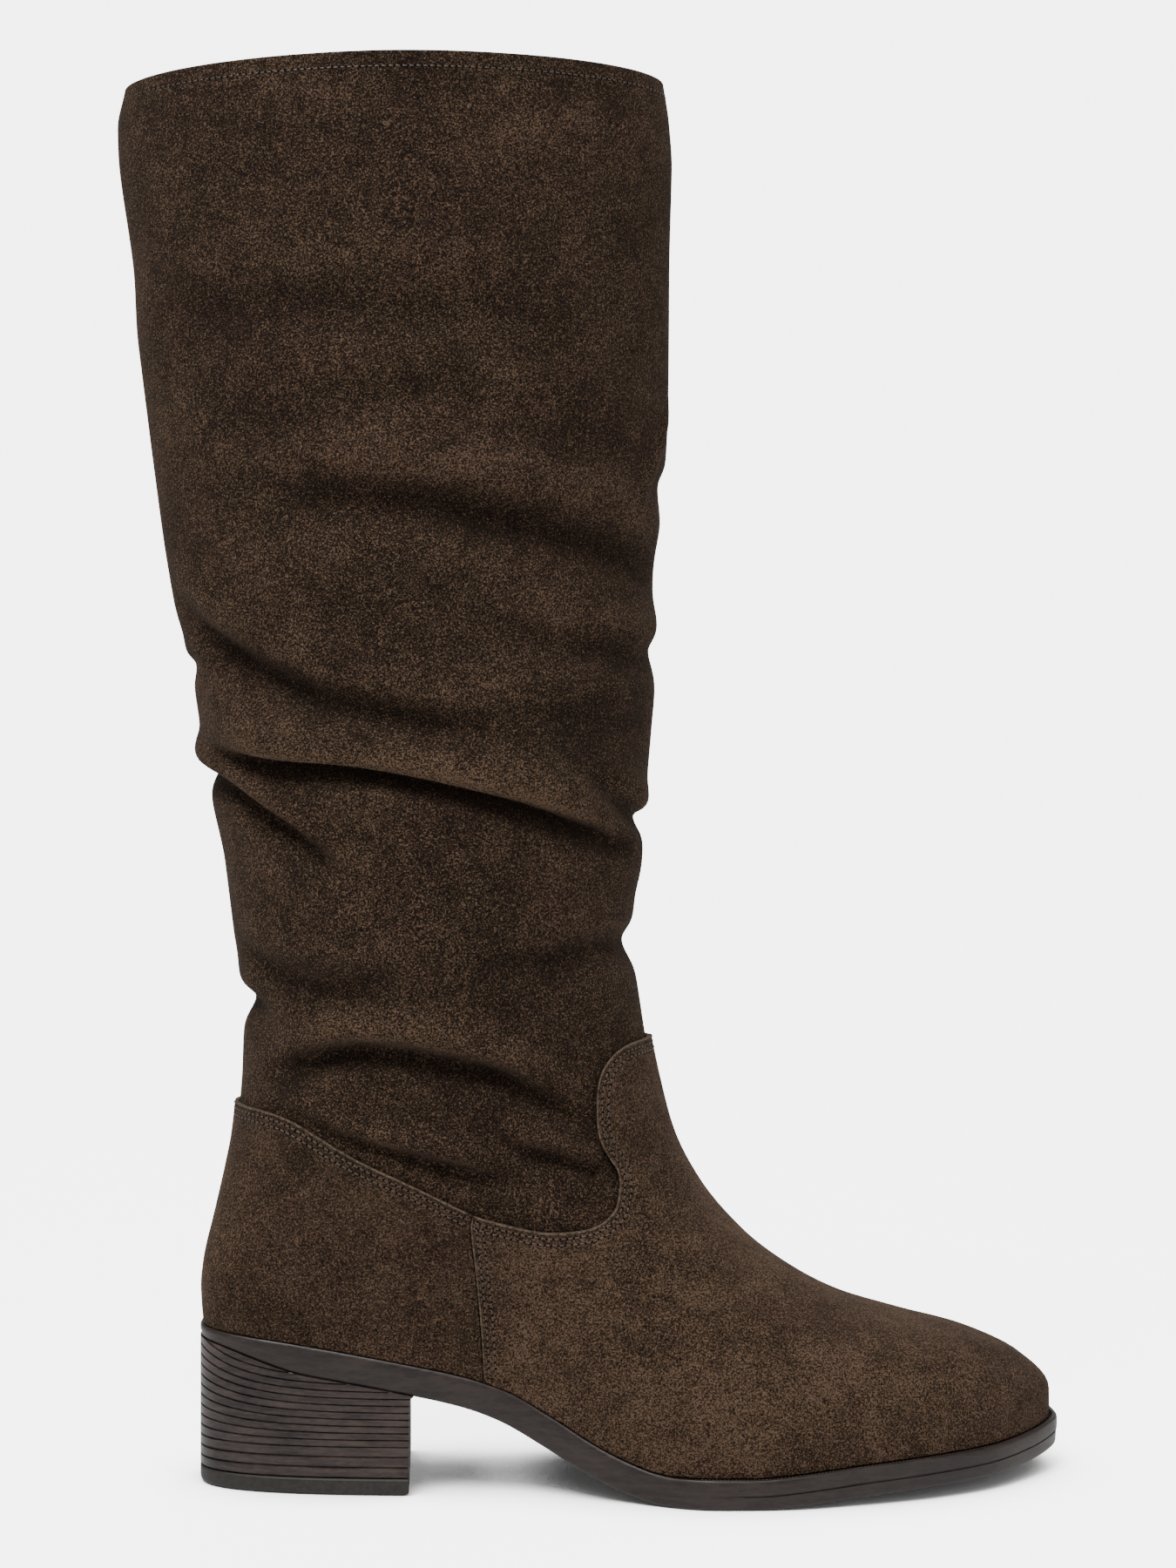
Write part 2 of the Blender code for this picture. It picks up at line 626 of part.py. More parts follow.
def make_heel(parts, finish):
    made = mesh_object("heel", parts, finish)
    loft(made, [heel_outline(inset, height) for inset, height in heel_levels()], capped=True)


def make_top_lift(parts, finish):
    chamfer = 0.6 * MM
    levels = ((chamfer, 0.0), (0.0, chamfer), (0.0, TOP_LIFT))
    made = mesh_object("top_lift", parts, finish)
    loft(made, [heel_outline(inset, lambda x, up=z: up) for inset, z in levels], capped=True)


def main():
    for old in list(bpy.data.objects):
        bpy.data.objects.remove(old, do_unlink=True)
    parts = bpy.data.collections.new("slouch boot")
    cutters = bpy.data.collections.new("cutters")
    bpy.context.scene.collection.children.link(parts)
    bpy.context.scene.collection.children.link(cutters)

    suede = material("suede", (0.045, 0.030, 0.021), 0.95)
    sole_brown = material("sole brown", (0.032, 0.024, 0.020), 0.45)
    rubber = material("top lift rubber", (0.030, 0.028, 0.024), 0.6)
    sock = material("insole leather", (0.20, 0.13, 0.08), 0.7)

    rings = upper_rings()
    over_ankle = [i for i, ring in enumerate(rings) if ring[0].z < ANKLE_HEIGHT * 1.12]
    foot = rings[:over_ankle[-1] + 1]
    make_upper(rings, (parts, cutters), suede)
    overlay("vamp", foot, VAMP_WALL, vamp_outline(), (parts, cutters), suede)
    overlay("counter", foot, COUNTER_WALL, counter_outline(), (parts, cutters), suede)
    make_outsole(parts, sole_brown)
    make_insole(parts, sock)
    make_heel(parts, sole_brown)
    make_top_lift(parts, rubber)


main()
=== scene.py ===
# %% [markdown]
# # A slouch boot, from its imported solids to a finished picture
#
# The boot is a knee-high pull-on of brown suede. Its tall shaft is cut too long on purpose, so it
# sinks into soft folds above the ankle. A vamp and a heel counter are laid over it, and it stands
# on a moulded sole and a stacked block heel. The sole's length and the heel's and top lift's sizes
# are read from boxes round the imported solids, and each piece below is drawn at shares of these
# and of a few given sizes.

# %% Load the solids
import math

import bpy
import numpy as np
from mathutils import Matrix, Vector
from mathutils.bvhtree import BVHTree


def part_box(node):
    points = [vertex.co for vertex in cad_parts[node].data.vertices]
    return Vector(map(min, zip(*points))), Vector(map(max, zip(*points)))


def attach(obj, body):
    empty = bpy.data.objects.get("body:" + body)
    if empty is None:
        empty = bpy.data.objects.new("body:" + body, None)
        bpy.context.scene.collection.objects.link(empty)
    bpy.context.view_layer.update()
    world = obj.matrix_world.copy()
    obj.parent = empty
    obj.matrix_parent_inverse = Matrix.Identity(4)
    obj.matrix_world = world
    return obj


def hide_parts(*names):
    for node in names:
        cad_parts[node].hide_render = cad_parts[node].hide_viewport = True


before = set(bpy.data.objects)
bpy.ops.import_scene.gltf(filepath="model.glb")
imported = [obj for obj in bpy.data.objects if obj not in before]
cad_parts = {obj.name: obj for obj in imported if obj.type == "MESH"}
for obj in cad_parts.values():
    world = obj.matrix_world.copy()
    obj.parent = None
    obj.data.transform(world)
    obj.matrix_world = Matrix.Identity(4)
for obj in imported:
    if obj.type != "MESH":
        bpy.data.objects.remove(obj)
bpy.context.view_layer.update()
MM = 0.001
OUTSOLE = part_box("outsole")
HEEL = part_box("heel")
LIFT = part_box("top_lift")
print("solids:", sorted(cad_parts))

# %% [markdown]
# ## Camera
#
# The picture is taken level, from the outer side, a little behind square. A long lens keeps the
# shaft's sides straight. The camera's distance and lens come from the size of the boot in the
# frame, and the frame's height follows from its width.

# %% Set the camera
LENS = 86.2
VIEW_DISTANCE = 0.860
VIEW_TURN = math.radians(3.0)
VIEW_CENTRE = Vector((0.0858, 0.0, 0.2093))

lens = bpy.data.cameras.new("camera")
lens.sensor_fit = "HORIZONTAL"
lens.sensor_width = 36.0
lens.lens = LENS
camera = bpy.data.objects.new("camera", lens)
look = Vector((math.sin(VIEW_TURN), math.cos(VIEW_TURN), 0.0))
camera.location = VIEW_CENTRE - look * VIEW_DISTANCE
camera.rotation_euler = (math.radians(90), 0.0, -VIEW_TURN)
bpy.context.scene.collection.objects.link(camera)
bpy.context.scene.camera = camera
print("camera at", [round(v, 3) for v in camera.location])

# %% [markdown]
# ## Shader arithmetic
#
# Blender's materials are graphs of nodes. Written out, a pattern of ten steps is thirty lines, so
# one small class lets Python's own signs add the Math nodes, and one method adds any other node.

# %% Build the helpers for materials
class Number:
    """A number that varies over a surface, so that Python's signs add Math nodes."""

    def __init__(self, socket):
        self.socket = socket

    def maths(self, operation, first, second):
        tree = self.socket.id_data
        step = tree.nodes.new("ShaderNodeMath")
        step.operation = operation
        for slot, value in zip(step.inputs, (first, second)):
            plug(slot, value)
        return Number(step.outputs[0])

    def __add__(self, other):
        return self.maths("ADD", self, other)

    def __radd__(self, other):
        return self.maths("ADD", other, self)

    def __sub__(self, other):
        return self.maths("SUBTRACT", self, other)

    def __rsub__(self, other):
        return self.maths("SUBTRACT", other, self)

    def __mul__(self, other):
        return self.maths("MULTIPLY", self, other)

    def __rmul__(self, other):
        return self.maths("MULTIPLY", other, self)

    def above(self, start, end):
        """0 below start, 1 above end, smooth between; start may be the larger."""
        tree = self.socket.id_data
        step = tree.nodes.new("ShaderNodeMapRange")
        step.interpolation_type = "SMOOTHSTEP"
        for name, value in (("Value", self), ("From Min", start), ("From Max", end)):
            plug(step.inputs[name], value)
        return Number(step.outputs[0])


def plug(slot, value):
    """Links a socket, or sets its value."""
    if isinstance(value, Number):
        value = value.socket
    if isinstance(value, bpy.types.NodeSocket):
        slot.id_data.links.new(value, slot)
    elif hasattr(slot.default_value, "__len__") and not isinstance(value, str):
        slot.default_value = (*value, 1.0)[:len(slot.default_value)]
    else:
        slot.default_value = value


class Finish:
    """A material whose nodes are added by a few short calls."""

    def __init__(self, name, **values):
        self.material = bpy.data.materials.new(name)
        self.material.use_nodes = True
        self.tree = self.material.node_tree
        self.shader = self.tree.nodes["Principled BSDF"]
        for key, value in values.items():
            plug(self.shader.inputs[key.replace("_", " ")], value)
        self.place = self.add("ShaderNodeTexCoord", {}, {}).outputs["Object"]

    def add(self, kind, settings, sockets):
        made = self.tree.nodes.new(kind)
        for key, value in settings.items():
            setattr(made, key, value)
        for key, value in sockets.items():
            plug(made.inputs[key], value)
        return made

    def noise(self, size, detail=3.0, rough=0.55, stretch=(1, 1, 1), warp=0.0):
        """Smooth random patches about as large as size, in metres."""
        place = self.add("ShaderNodeMapping", {}, {"Vector": self.place, "Scale": stretch})
        made = self.add("ShaderNodeTexNoise", {}, {"Vector": place.outputs[0], "Scale": 0.5 / size,
                        "Detail": detail, "Roughness": rough, "Distortion": warp})
        return Number(made.outputs["Fac"])

    def attribute(self, name):
        return Number(self.add("ShaderNodeAttribute", {"attribute_name": name}, {}).outputs["Fac"])

    def axis(self, index):
        return Number(self.add("ShaderNodeSeparateXYZ", {}, {0: self.place}).outputs[index])

    def mix(self, share, first, second):
        made = self.add("ShaderNodeMix", {"data_type": "RGBA"}, {0: share, 6: first, 7: second})
        return made.outputs[2]

    def bump(self, height, distance):
        """Raises the surface by height, in shares of a distance in metres."""
        made = self.add("ShaderNodeBump", {}, {"Height": height, "Distance": distance})
        plug(self.shader.inputs["Normal"], made.outputs[0])

    def set(self, name, value):
        plug(self.shader.inputs[name], value)


print("helpers ready")

# %% [markdown]
# ## The line and the plan of the sole
#
# A last is drawn from two lines: its bottom seen from the side, and its outline seen from above.
# Both are short tables, the same as in the solids. The first column is a share of the sole's
# length, and the others are shares of the heel's rise, the toe's spring and the ball's width. A
# smooth line that never overshoots runs through the rows, and numpy works out all the points of a
# ring at once.

# %% Draw the sole's two lines
SOLE_LENGTH = OUTSOLE[1][0] - OUTSOLE[0][0]
HEEL_BACK = OUTSOLE[0][0]
BALL_WIDTH = 96 * MM
TOE_SWING = 5 * MM
SOLE_THICKNESS = 8.6 * MM
HEEL_RISE = 38.5 * MM
TOE_SPRING = 7.5 * MM
RIM_AT_TOE = 2.8 * MM
RIM_AT_HEEL = 0.7 * MM
GAP = 0.3 * MM


def table(columns, *rows):
    """Rows of values, each with the names of its columns."""
    return [dict(zip(columns.split(), row)) for row in rows]


SOLE_LINE = table(
    "at rise spring",
    (0.00, 1.00, 0.0),
    (0.11, 0.915, 0.0),
    (0.24, 0.765, 0.0),
    (0.30, 0.675, 0.0),
    (0.34, 0.578, 0.0),
    (0.39, 0.390, 0.0),
    (0.44, 0.198, 0.0),
    (0.48, 0.080, 0.0),
    (0.51, 0.020, 0.0),
    (0.535, 0.0, 0.0),
    (0.62, 0.0, 0.0),
    (0.69, 0.0, 0.17),
    (0.75, 0.0, 0.34),
    (0.83, 0.0, 0.49),
    (0.91, 0.0, 0.61),
    (0.96, 0.0, 0.77),
    (1.00, 0.0, 1.00),
)
SOLE_PLAN = table(
    "at outer inner",
    (0.00, 0.325, 0.320),
    (0.20, 0.325, 0.315),
    (0.36, 0.342, 0.285),
    (0.48, 0.450, 0.300),
    (0.58, 0.555, 0.358),
    (0.66, 0.566, 0.412),
    (0.74, 0.540, 0.430),
    (0.82, 0.500, 0.412),
    (0.90, 0.430, 0.362),
    (0.96, 0.320, 0.290),
    (1.00, 0.220, 0.220),
)
HEEL_FULLNESS = 3.0
TOE_FULLNESS = 4.0


def through(keys, values, at):
    """A smooth line through values at keys that never overshoots them."""
    keys, values = np.array(keys), np.array(values)
    slopes = np.diff(values) / np.diff(keys)
    before, after = slopes[:-1], slopes[1:]
    level = before * after <= 0
    middle = np.where(level, 0.0, 2 * before * after / np.where(level, 1.0, before + after))
    tangents = np.concatenate((slopes[:1], middle, slopes[-1:]))
    at = np.clip(at, keys[0], keys[-1])
    i = np.clip(np.searchsorted(keys, at, side="right") - 1, 0, len(slopes) - 1)
    span = keys[i + 1] - keys[i]
    t = (at - keys[i]) / span
    return ((1 + 2 * t) * (1 - t) ** 2 * values[i] + t * (1 - t) ** 2 * span * tangents[i]
            + t * t * (3 - 2 * t) * values[i + 1] + t * t * (t - 1) * span * tangents[i + 1])


def column(rows, name, at):
    """One column of a table, at a value of its first column."""
    first = next(iter(rows[0]))
    return through([row[first] for row in rows], [row[name] for row in rows], at)


def blend(a, b, share):
    return a + (b - a) * share


def ease(share):
    share = np.clip(share, 0.0, 1.0)
    return share * share * (3 - 2 * share)


def rounded_end(share, fullness):
    return np.maximum(0.0, 1 - np.abs(1 - 2 * share) ** fullness) ** (1 / fullness)


def sole_x(at):
    return HEEL_BACK + at * SOLE_LENGTH


def sole_share(x):
    return (x - HEEL_BACK) / SOLE_LENGTH


def sole_under(x):
    at = sole_share(x)
    return (HEEL_RISE * column(SOLE_LINE, "rise", at)
            + TOE_SPRING * column(SOLE_LINE, "spring", at))


def sole_top(x):
    step = SOLE_LENGTH / 100
    slope = (sole_under(x + step) - sole_under(x - step)) / (2 * step)
    return sole_under(x) + SOLE_THICKNESS * np.sqrt(1 + slope * slope)


def sole_half(x, outer):
    at = sole_share(x)
    return BALL_WIDTH * np.where(outer, column(SOLE_PLAN, "outer", at),
                                 column(SOLE_PLAN, "inner", at))


def swing(x):
    return TOE_SWING * np.maximum(0.0, sole_share(x)) ** 2


def rim(x):
    return blend(RIM_AT_HEEL, RIM_AT_TOE, ease(2 * sole_share(x) - 0.4))


print("sole", round(SOLE_LENGTH * 1000), "mm long")

# %% [markdown]
# ## The form of the upper
#
# The upper is a stack of closed rings. The lowest ring follows the sole's edge, and each one above
# turns a little further into the oval of the shaft. A ring is given by its back and front points
# seen from the side and by its half width, so the same few rows give the outline from every side.
# A turn round the ring is 0 at the back, 1 at the front, and positive on the outer side.

# %% Stack the rings of the upper
ANKLE_HEIGHT = 134 * MM
BOOT_HEIGHT = 420.5 * MM
COLLAR_RISE_AT_FRONT = 2 * MM
COLLAR_FULLNESS = 1.8
ANKLE_WIDTH = 79 * MM
COLLAR_LENGTH = 163.5 * MM
COLLAR_WIDTH = 90 * MM
COLLAR_LEAN = -54.6 * MM
UPPER_WALL = 1.5 * MM
VAMP_WALL = 1.5 * MM
COUNTER_WALL = 1.2 * MM
AROUND = 208

FOOT = table(
    "up back_at back_up front_at front_up shaft curve heel_full toe_full swell",
    (0.00, 0.0095, -0.014, 0.9840, -0.012, 0.00, 1.00, 3.0, 4.0, 1.000),
    (0.05, 0.0070, 0.060, 0.9840, 0.066, 0.01, 1.00, 3.0, 3.8, 1.015),
    (0.11, 0.0060, 0.128, 0.9565, 0.145, 0.04, 0.96, 3.0, 3.4, 1.025),
    (0.17, 0.0080, 0.197, 0.8990, 0.215, 0.09, 0.88, 3.0, 3.0, 1.015),
    (0.23, 0.0120, 0.266, 0.8270, 0.264, 0.17, 0.78, 2.9, 2.6, 0.990),
    (0.31, 0.0185, 0.346, 0.7475, 0.324, 0.29, 0.64, 2.8, 2.4, 0.965),
    (0.40, 0.0256, 0.438, 0.6795, 0.408, 0.42, 0.48, 2.7, 2.2, 0.945),
    (0.50, 0.0328, 0.535, 0.6240, 0.504, 0.55, 0.33, 2.6, 2.1, 0.930),
    (0.63, 0.0400, 0.645, 0.5745, 0.626, 0.70, 0.18, 2.5, 2.0, 0.920),
    (0.76, 0.0445, 0.760, 0.5425, 0.755, 0.83, 0.07, 2.3, 2.0, 0.920),
    (0.89, 0.0475, 0.885, 0.5260, 0.882, 0.94, 0.02, 2.1, 2.0, 0.930),
    (1.00, 0.0485, 1.000, 0.5140, 1.000, 1.00, 0.00, 2.0, 2.0, 0.940),
)
SHAFT = table(
    "rise back front side",
    (0.00, 0.000, 0.000, 0.000),
    (0.06, -0.010, -0.018, 0.012),
    (0.11, -0.006, -0.033, 0.018),
    (0.18, -0.006, -0.011, 0.016),
    (0.25, 0.004, -0.006, 0.020),
    (0.32, 0.008, 0.002, 0.022),
    (0.40, 0.013, 0.010, 0.014),
    (0.46, 0.028, 0.000, 0.016),
    (0.54, 0.033, 0.008, 0.014),
    (0.65, 0.034, 0.021, 0.012),
    (0.73, 0.034, 0.020, 0.010),
    (0.82, 0.025, 0.018, 0.008),
    (0.91, 0.028, 0.019, 0.006),
    (0.96, 0.022, 0.012, 0.002),
    (1.00, 0.000, 0.000, 0.000),
)
TURNS = 2 * np.arange(AROUND) / AROUND - 1


def ring_points(back, front, shape, turns):
    """A ring between its back and front ends, each given as (x, z)."""
    outer = turns > 0
    along = (1 - np.cos(math.pi * turns)) / 2
    x = blend(back[0], front[0], along)
    chord = blend(sole_top(back[0]), sole_top(front[0]), along)
    z = blend(back[1], front[1], along) + shape["curve"] * (sole_top(x) - chord)
    sole_part = (sole_half(x, outer) - rim(x) - VAMP_WALL - GAP) * shape["swell"]
    half = blend(sole_part, shape["half"], shape["shaft"])
    full = np.where(along < 0.5, shape["heel_full"], shape["toe_full"])
    reach = half * rounded_end(along, full)
    y = swing(x) * (1 - shape["shaft"]) + np.where(outer, -reach, reach)
    return np.stack((x, y, z), axis=1)


def foot_ring(up):
    row = {name: float(column(FOOT, name, up)) for name in FOOT[0]}
    row["half"] = ANKLE_WIDTH / 2
    ends = []
    for end in ("back", "front"):
        x = sole_x(row[end + "_at"])
        ends.append((x, blend(float(sole_top(x)) + GAP, ANKLE_HEIGHT, row[end + "_up"])))
    return ring_points(ends[0], ends[1], row, TURNS)


def shaft_ring(rise):
    out = {name: COLLAR_LENGTH * float(column(SHAFT, name, rise))
           for name in ("back", "front", "side")}
    back = blend(sole_x(FOOT[-1]["back_at"]), COLLAR_LEAN, rise) - out["back"]
    front = blend(sole_x(FOOT[-1]["front_at"]), COLLAR_LEAN + COLLAR_LENGTH, rise) + out["front"]
    z = blend(ANKLE_HEIGHT, BOOT_HEIGHT, rise)
    tilt = COLLAR_RISE_AT_FRONT * rise
    full = blend(2.0, COLLAR_FULLNESS, rise)
    row = {"curve": 0.0, "shaft": 1.0, "heel_full": full, "toe_full": full, "swell": 1.0,
           "half": blend(ANKLE_WIDTH, COLLAR_WIDTH, rise) / 2 + out["side"]}
    return ring_points((back, z - tilt), (front, z + tilt), row, TURNS)


def ring_normals(rings):
    """The outward direction at each point of a stack of rings."""
    across = np.roll(rings, -1, axis=1) - np.roll(rings, 1, axis=1)
    rising = np.gradient(rings, axis=0)
    out = np.cross(across, rising)
    return out / np.maximum(np.linalg.norm(out, axis=2, keepdims=True), 1e-12)


FOOT_RINGS = 120
SHAFT_RINGS = 250
plain_rings = np.stack([foot_ring(i / FOOT_RINGS) for i in range(FOOT_RINGS)]
                       + [shaft_ring(i / SHAFT_RINGS) for i in range(SHAFT_RINGS + 1)])
print("rings", plain_rings.shape)

# %% [markdown]
# ## Slouch folds
#
# Soft suede that sinks under its own weight buckles into troughs, each with a ridge that hangs a
# little over it. The folds are placed one by one, each as a line round the shaft through four
# places, so a fold can bow or run downhill. Heights are shares of the boot's height, depths and
# widths are shares of the ankle's width, and a fold with a depth below nothing is a swelling. A
# trough is pressed in steeply from above and runs out softly below. Its ridge is pulled down over it
# as a lip, and the lip's place is kept, because there the suede is painted paler, as rubbed nap and
# painted highlight.
#
# The folds stop at the seams below, so the tables of the panels' edges come here too. Their first
# column is a share of the sole's length, and the second is a share of the ankle's height.

# %% Place the folds and the panels' edges
FOLDS = table(
    "turn high deep ridge wide lap",
    ((0.24, 0.48, 0.70, 1.04), (0.696, 0.694, 0.674, 0.652), 0.058, 0.60, 0.090, 0.25),
    ((0.05, 0.22, 0.40, 0.66), (0.632, 0.587, 0.550, 0.526), 0.062, 0.30, 0.085, 0.25),
    ((0.04, 0.34, 0.61, 0.95), (0.520, 0.515, 0.491, 0.438), 0.088, 0.55, 0.058, 0.90),
    ((0.54, 0.70, 0.86, 1.20), (0.604, 0.595, 0.590, 0.612), 0.036, 0.25, 0.070, 0.20),
    ((0.90, 0.96, 1.04, 1.30), (0.716, 0.712, 0.714, 0.722), 0.030, 0.10, 0.060, 0.00),
    ((0.72, 0.84, 0.96, 1.18), (0.504, 0.485, 0.475, 0.474), 0.046, 0.25, 0.048, 0.35),
    ((-0.22, 0.14, 0.27, 0.42), (0.530, 0.496, 0.468, 0.412), 0.056, 0.60, 0.048, 0.35),
    ((0.56, 0.70, 0.85, 1.00), (0.545, 0.544, 0.542, 0.540), 0.022, 0.20, 0.080, 0.00),
    ((0.52, 0.70, 0.86, 1.18), (0.366, 0.376, 0.385, 0.386), 0.031, 0.30, 0.060, 0.25),
    ((0.08, 0.20, 0.32, 0.46), (0.380, 0.366, 0.355, 0.352), 0.038, 0.40, 0.075, 0.10),
    ((-0.30, -0.08, 0.10, 0.24), (0.341, 0.347, 0.343, 0.322), 0.050, 0.12, 0.056, 0.20),
    ((0.14, 0.37, 0.55, 0.76), (0.288, 0.314, 0.301, 0.244), 0.064, 0.60, 0.058, 0.40),
    ((0.16, 0.32, 0.44, 0.60), (0.270, 0.250, 0.235, 0.214), 0.042, 0.65, 0.045, 0.20),
    ((0.54, 0.62, 0.70, 0.80), (0.249, 0.240, 0.227, 0.215), 0.030, 0.90, 0.038, 0.20),
    ((0.10, 0.32, 0.50, 0.72), (0.826, 0.826, 0.824, 0.820), 0.022, 0.20, 0.110, 0.00),
    ((0.22, 0.34, 0.46, 0.60), (0.793, 0.793, 0.791, 0.789), -0.014, 0.00, 0.100, 0.00),
    ((0.34, 0.42, 0.52, 0.62), (0.767, 0.767, 0.767, 0.766), 0.014, 0.00, 0.080, 0.00),
    ((0.20, 0.28, 0.36, 0.44), (0.748, 0.747, 0.745, 0.744), 0.014, 0.00, 0.080, 0.00),
    ((0.82, 0.87, 0.92, 0.98), (0.695, 0.716, 0.745, 0.785), -0.016, 0.00, 0.050, 0.00),
    ((-0.36, -0.12, 0.03, 0.14), (0.600, 0.588, 0.583, 0.585), 0.026, 0.20, 0.040, 0.10),
    ((-0.92, -0.70, -0.45, -0.18), (0.655, 0.668, 0.690, 0.702), 0.045, 0.55, 0.090, 0.25),
    ((-0.66, -0.42, -0.22, -0.04), (0.526, 0.555, 0.590, 0.622), 0.050, 0.30, 0.085, 0.25),
    ((-1.02, -0.70, -0.40, -0.08), (0.468, 0.478, 0.500, 0.510), 0.078, 0.55, 0.058, 0.80),
    ((-0.88, -0.65, -0.45, -0.24), (0.585, 0.600, 0.612, 0.612), 0.030, 0.40, 0.070, 0.15),
    ((-0.92, -0.70, -0.50, -0.26), (0.386, 0.378, 0.392, 0.412), 0.050, 0.45, 0.060, 0.30),
    ((-0.80, -0.55, -0.35, -0.12), (0.426, 0.432, 0.448, 0.456), 0.032, 0.40, 0.055, 0.20),
    ((-0.72, -0.50, -0.35, -0.18), (0.258, 0.296, 0.308, 0.290), 0.045, 0.60, 0.050, 0.30),
    ((-0.66, -0.50, -0.38, -0.24), (0.222, 0.240, 0.252, 0.264), 0.028, 0.50, 0.042, 0.10),
    ((-0.78, -0.50, -0.30, -0.10), (0.815, 0.830, 0.835, 0.830), 0.020, 0.20, 0.110, 0.00),
)
RIDGE_UP = 1.7
LIP_UP = 0.75 * RIDGE_UP
STEEP_ABOVE = 0.85
SOFT_BELOW = 1.35
FOLD_FADE = 0.30
LIP_WIDTH = 0.35
FADE_OVER_SEAM = 9 * MM
FADE_UNDER_COLLAR = COLLAR_WIDTH / 3

COUNTER_EDGE = table(
    "at high",
    (0.000, 0.850),
    (0.045, 0.848),
    (0.105, 0.826),
    (0.180, 0.745),
    (0.250, 0.680),
    (0.3125, 0.619),
)
VAMP_EDGE = table(
    "at high",
    (0.3125, 0.619),
    (0.340, 0.603),
    (0.393, 0.581),
    (0.444, 0.589),
    (0.470, 0.622),
    (0.477, 0.668),
    (0.476, 0.706),
    (0.466, 0.738),
    (0.456, 0.775),
    (0.452, 0.820),
    (0.453, 0.892),
    (0.463, 0.942),
    (0.487, 0.979),
    (0.525, 0.991),
)
SIDE_SEAM = table(
    "at high",
    (0.3125, 0.619),
    (0.3100, 0.588),
    (0.3150, 0.500),
    (0.3215, 0.370),
    (0.3250, 0.256),
)
print(len(FOLDS), "folds placed")

# %% Press in the folds
def seam_height(x):
    """The line above which the shaft is bare: over the counter, the throat and the tongue."""
    at = sole_share(x)
    counter = ANKLE_HEIGHT * column(COUNTER_EDGE, "high", at)
    low = ANKLE_HEIGHT * column(VAMP_EDGE[:4], "high", at)
    throat_back, throat_front = VAMP_EDGE[3]["at"], VAMP_EDGE[5]["at"]
    front = blend(low, ANKLE_HEIGHT, ease((at - throat_back) / (throat_front - throat_back)))
    return np.where(at <= COUNTER_EDGE[-1]["at"], counter, front)


def fold_moves(rings):
    """How far each point moves outwards and down, and how near it is to a fold's lip, where the suede
    is painted paler as rubbed nap and painted highlight.
    """
    out, down, lip = np.zeros((3,) + rings.shape[:2])
    z = rings[:, :, 2]
    for fold in FOLDS:
        first, last = fold["turn"][0], fold["turn"][-1]
        wide, deep = fold["wide"] * ANKLE_WIDTH, fold["deep"] * ANKLE_WIDTH
        for turn in (TURNS, TURNS + 2, TURNS - 2):
            along = (turn - first) / (last - first)
            fade = ease(along / FOLD_FADE) * ease((1 - along) / FOLD_FADE)
            above = (z - through(fold["turn"], fold["high"], turn) * BOOT_HEIGHT) / wide
            trough = np.exp(-((above / np.where(above > 0, STEEP_ABOVE, SOFT_BELOW)) ** 2))
            ridge = np.exp(-((above - RIDGE_UP) ** 2))
            out += deep * fade * (fold["ridge"] * ridge - trough)
            down += fold["lap"] * deep * fade * np.exp(-((above - LIP_UP) ** 2))
            lip += fold["lap"] * fade * np.exp(-(((above - LIP_UP) / LIP_WIDTH) ** 2))
    bare = ease((z - seam_height(rings[:, :, 0])) / FADE_OVER_SEAM)
    held = ease((BOOT_HEIGHT - z) / FADE_UNDER_COLLAR)
    return out * bare * held, down * bare * held, lip * bare * held


normals = ring_normals(plain_rings)
outwards, downwards, lips = fold_moves(plain_rings)
upper_rings = plain_rings + normals * outwards[:, :, None]
upper_rings[:, :, 2] -= downwards
print("deepest fold", round(-outwards.min() * 1000, 1), "mm")

# %% [markdown]
# ## Meshes from rings
#
# A skin over rings is one quad between each two neighbours on each two rings. Blender's own
# primitives can't start such a form, so its points are given straight to a mesh, and modifiers and
# edit mode take over from there. An operator acts on all that is selected, so one object is chosen
# alone before each.

# %% Make a mesh from rings
TOGETHER = 1e-6


def choose(made):
    """Selects one object alone and makes it the active one."""
    bpy.ops.object.select_all(action="DESELECT")
    made.select_set(True)
    bpy.context.view_layer.objects.active = made


def turn_outwards(merge=False):
    """Points the active mesh's faces outwards, with points that lie together merged if asked."""
    bpy.ops.object.mode_set(mode="EDIT")
    bpy.ops.mesh.select_all(action="SELECT")
    if merge:
        bpy.ops.mesh.remove_doubles(threshold=TOGETHER)
    bpy.ops.mesh.normals_make_consistent(inside=False)
    bpy.ops.object.mode_set(mode="OBJECT")


def new_piece(name, points, faces):
    """An object from points and faces, smooth, with its normals outwards."""
    mesh = bpy.data.meshes.new(name)
    mesh.from_pydata(points, [], faces)
    made = bpy.data.objects.new(name, mesh)
    bpy.context.scene.collection.objects.link(made)
    choose(made)
    turn_outwards()
    bpy.ops.object.shade_smooth()
    return made


def skin(name, rings, caps=False):
    """A tube of quads over a stack of rings, its ends closed with strips across when asked."""
    count, around = rings.shape[:2]
    points = rings.reshape(-1, 3)
    faces = []
    for i in range(count - 1):
        for j in range(around):
            k = (j + 1) % around
            faces.append((i * around + j, i * around + k, (i + 1) * around + k, (i + 1) * around + j))
    if caps:
        for base, flip in ((0, True), ((count - 1) * around, False)):
            for j in range(around // 2):
                corners = [base + c % around for c in (j, j + 1, -j - 1, -j)]
                corners = list(dict.fromkeys(corners))
                if len(corners) > 2:
                    faces.append(corners[::-1] if flip else corners)
    return new_piece(name, points.tolist(), faces)


def apply_all(made):
    choose(made)
    for step in list(made.modifiers):
        bpy.ops.object.modifier_apply(modifier=step.name)


def count_triangles(made):
    made.data.calc_loop_triangles()
    return len(made.data.loop_triangles)


print("ready to skin", len(plain_rings), "rings")
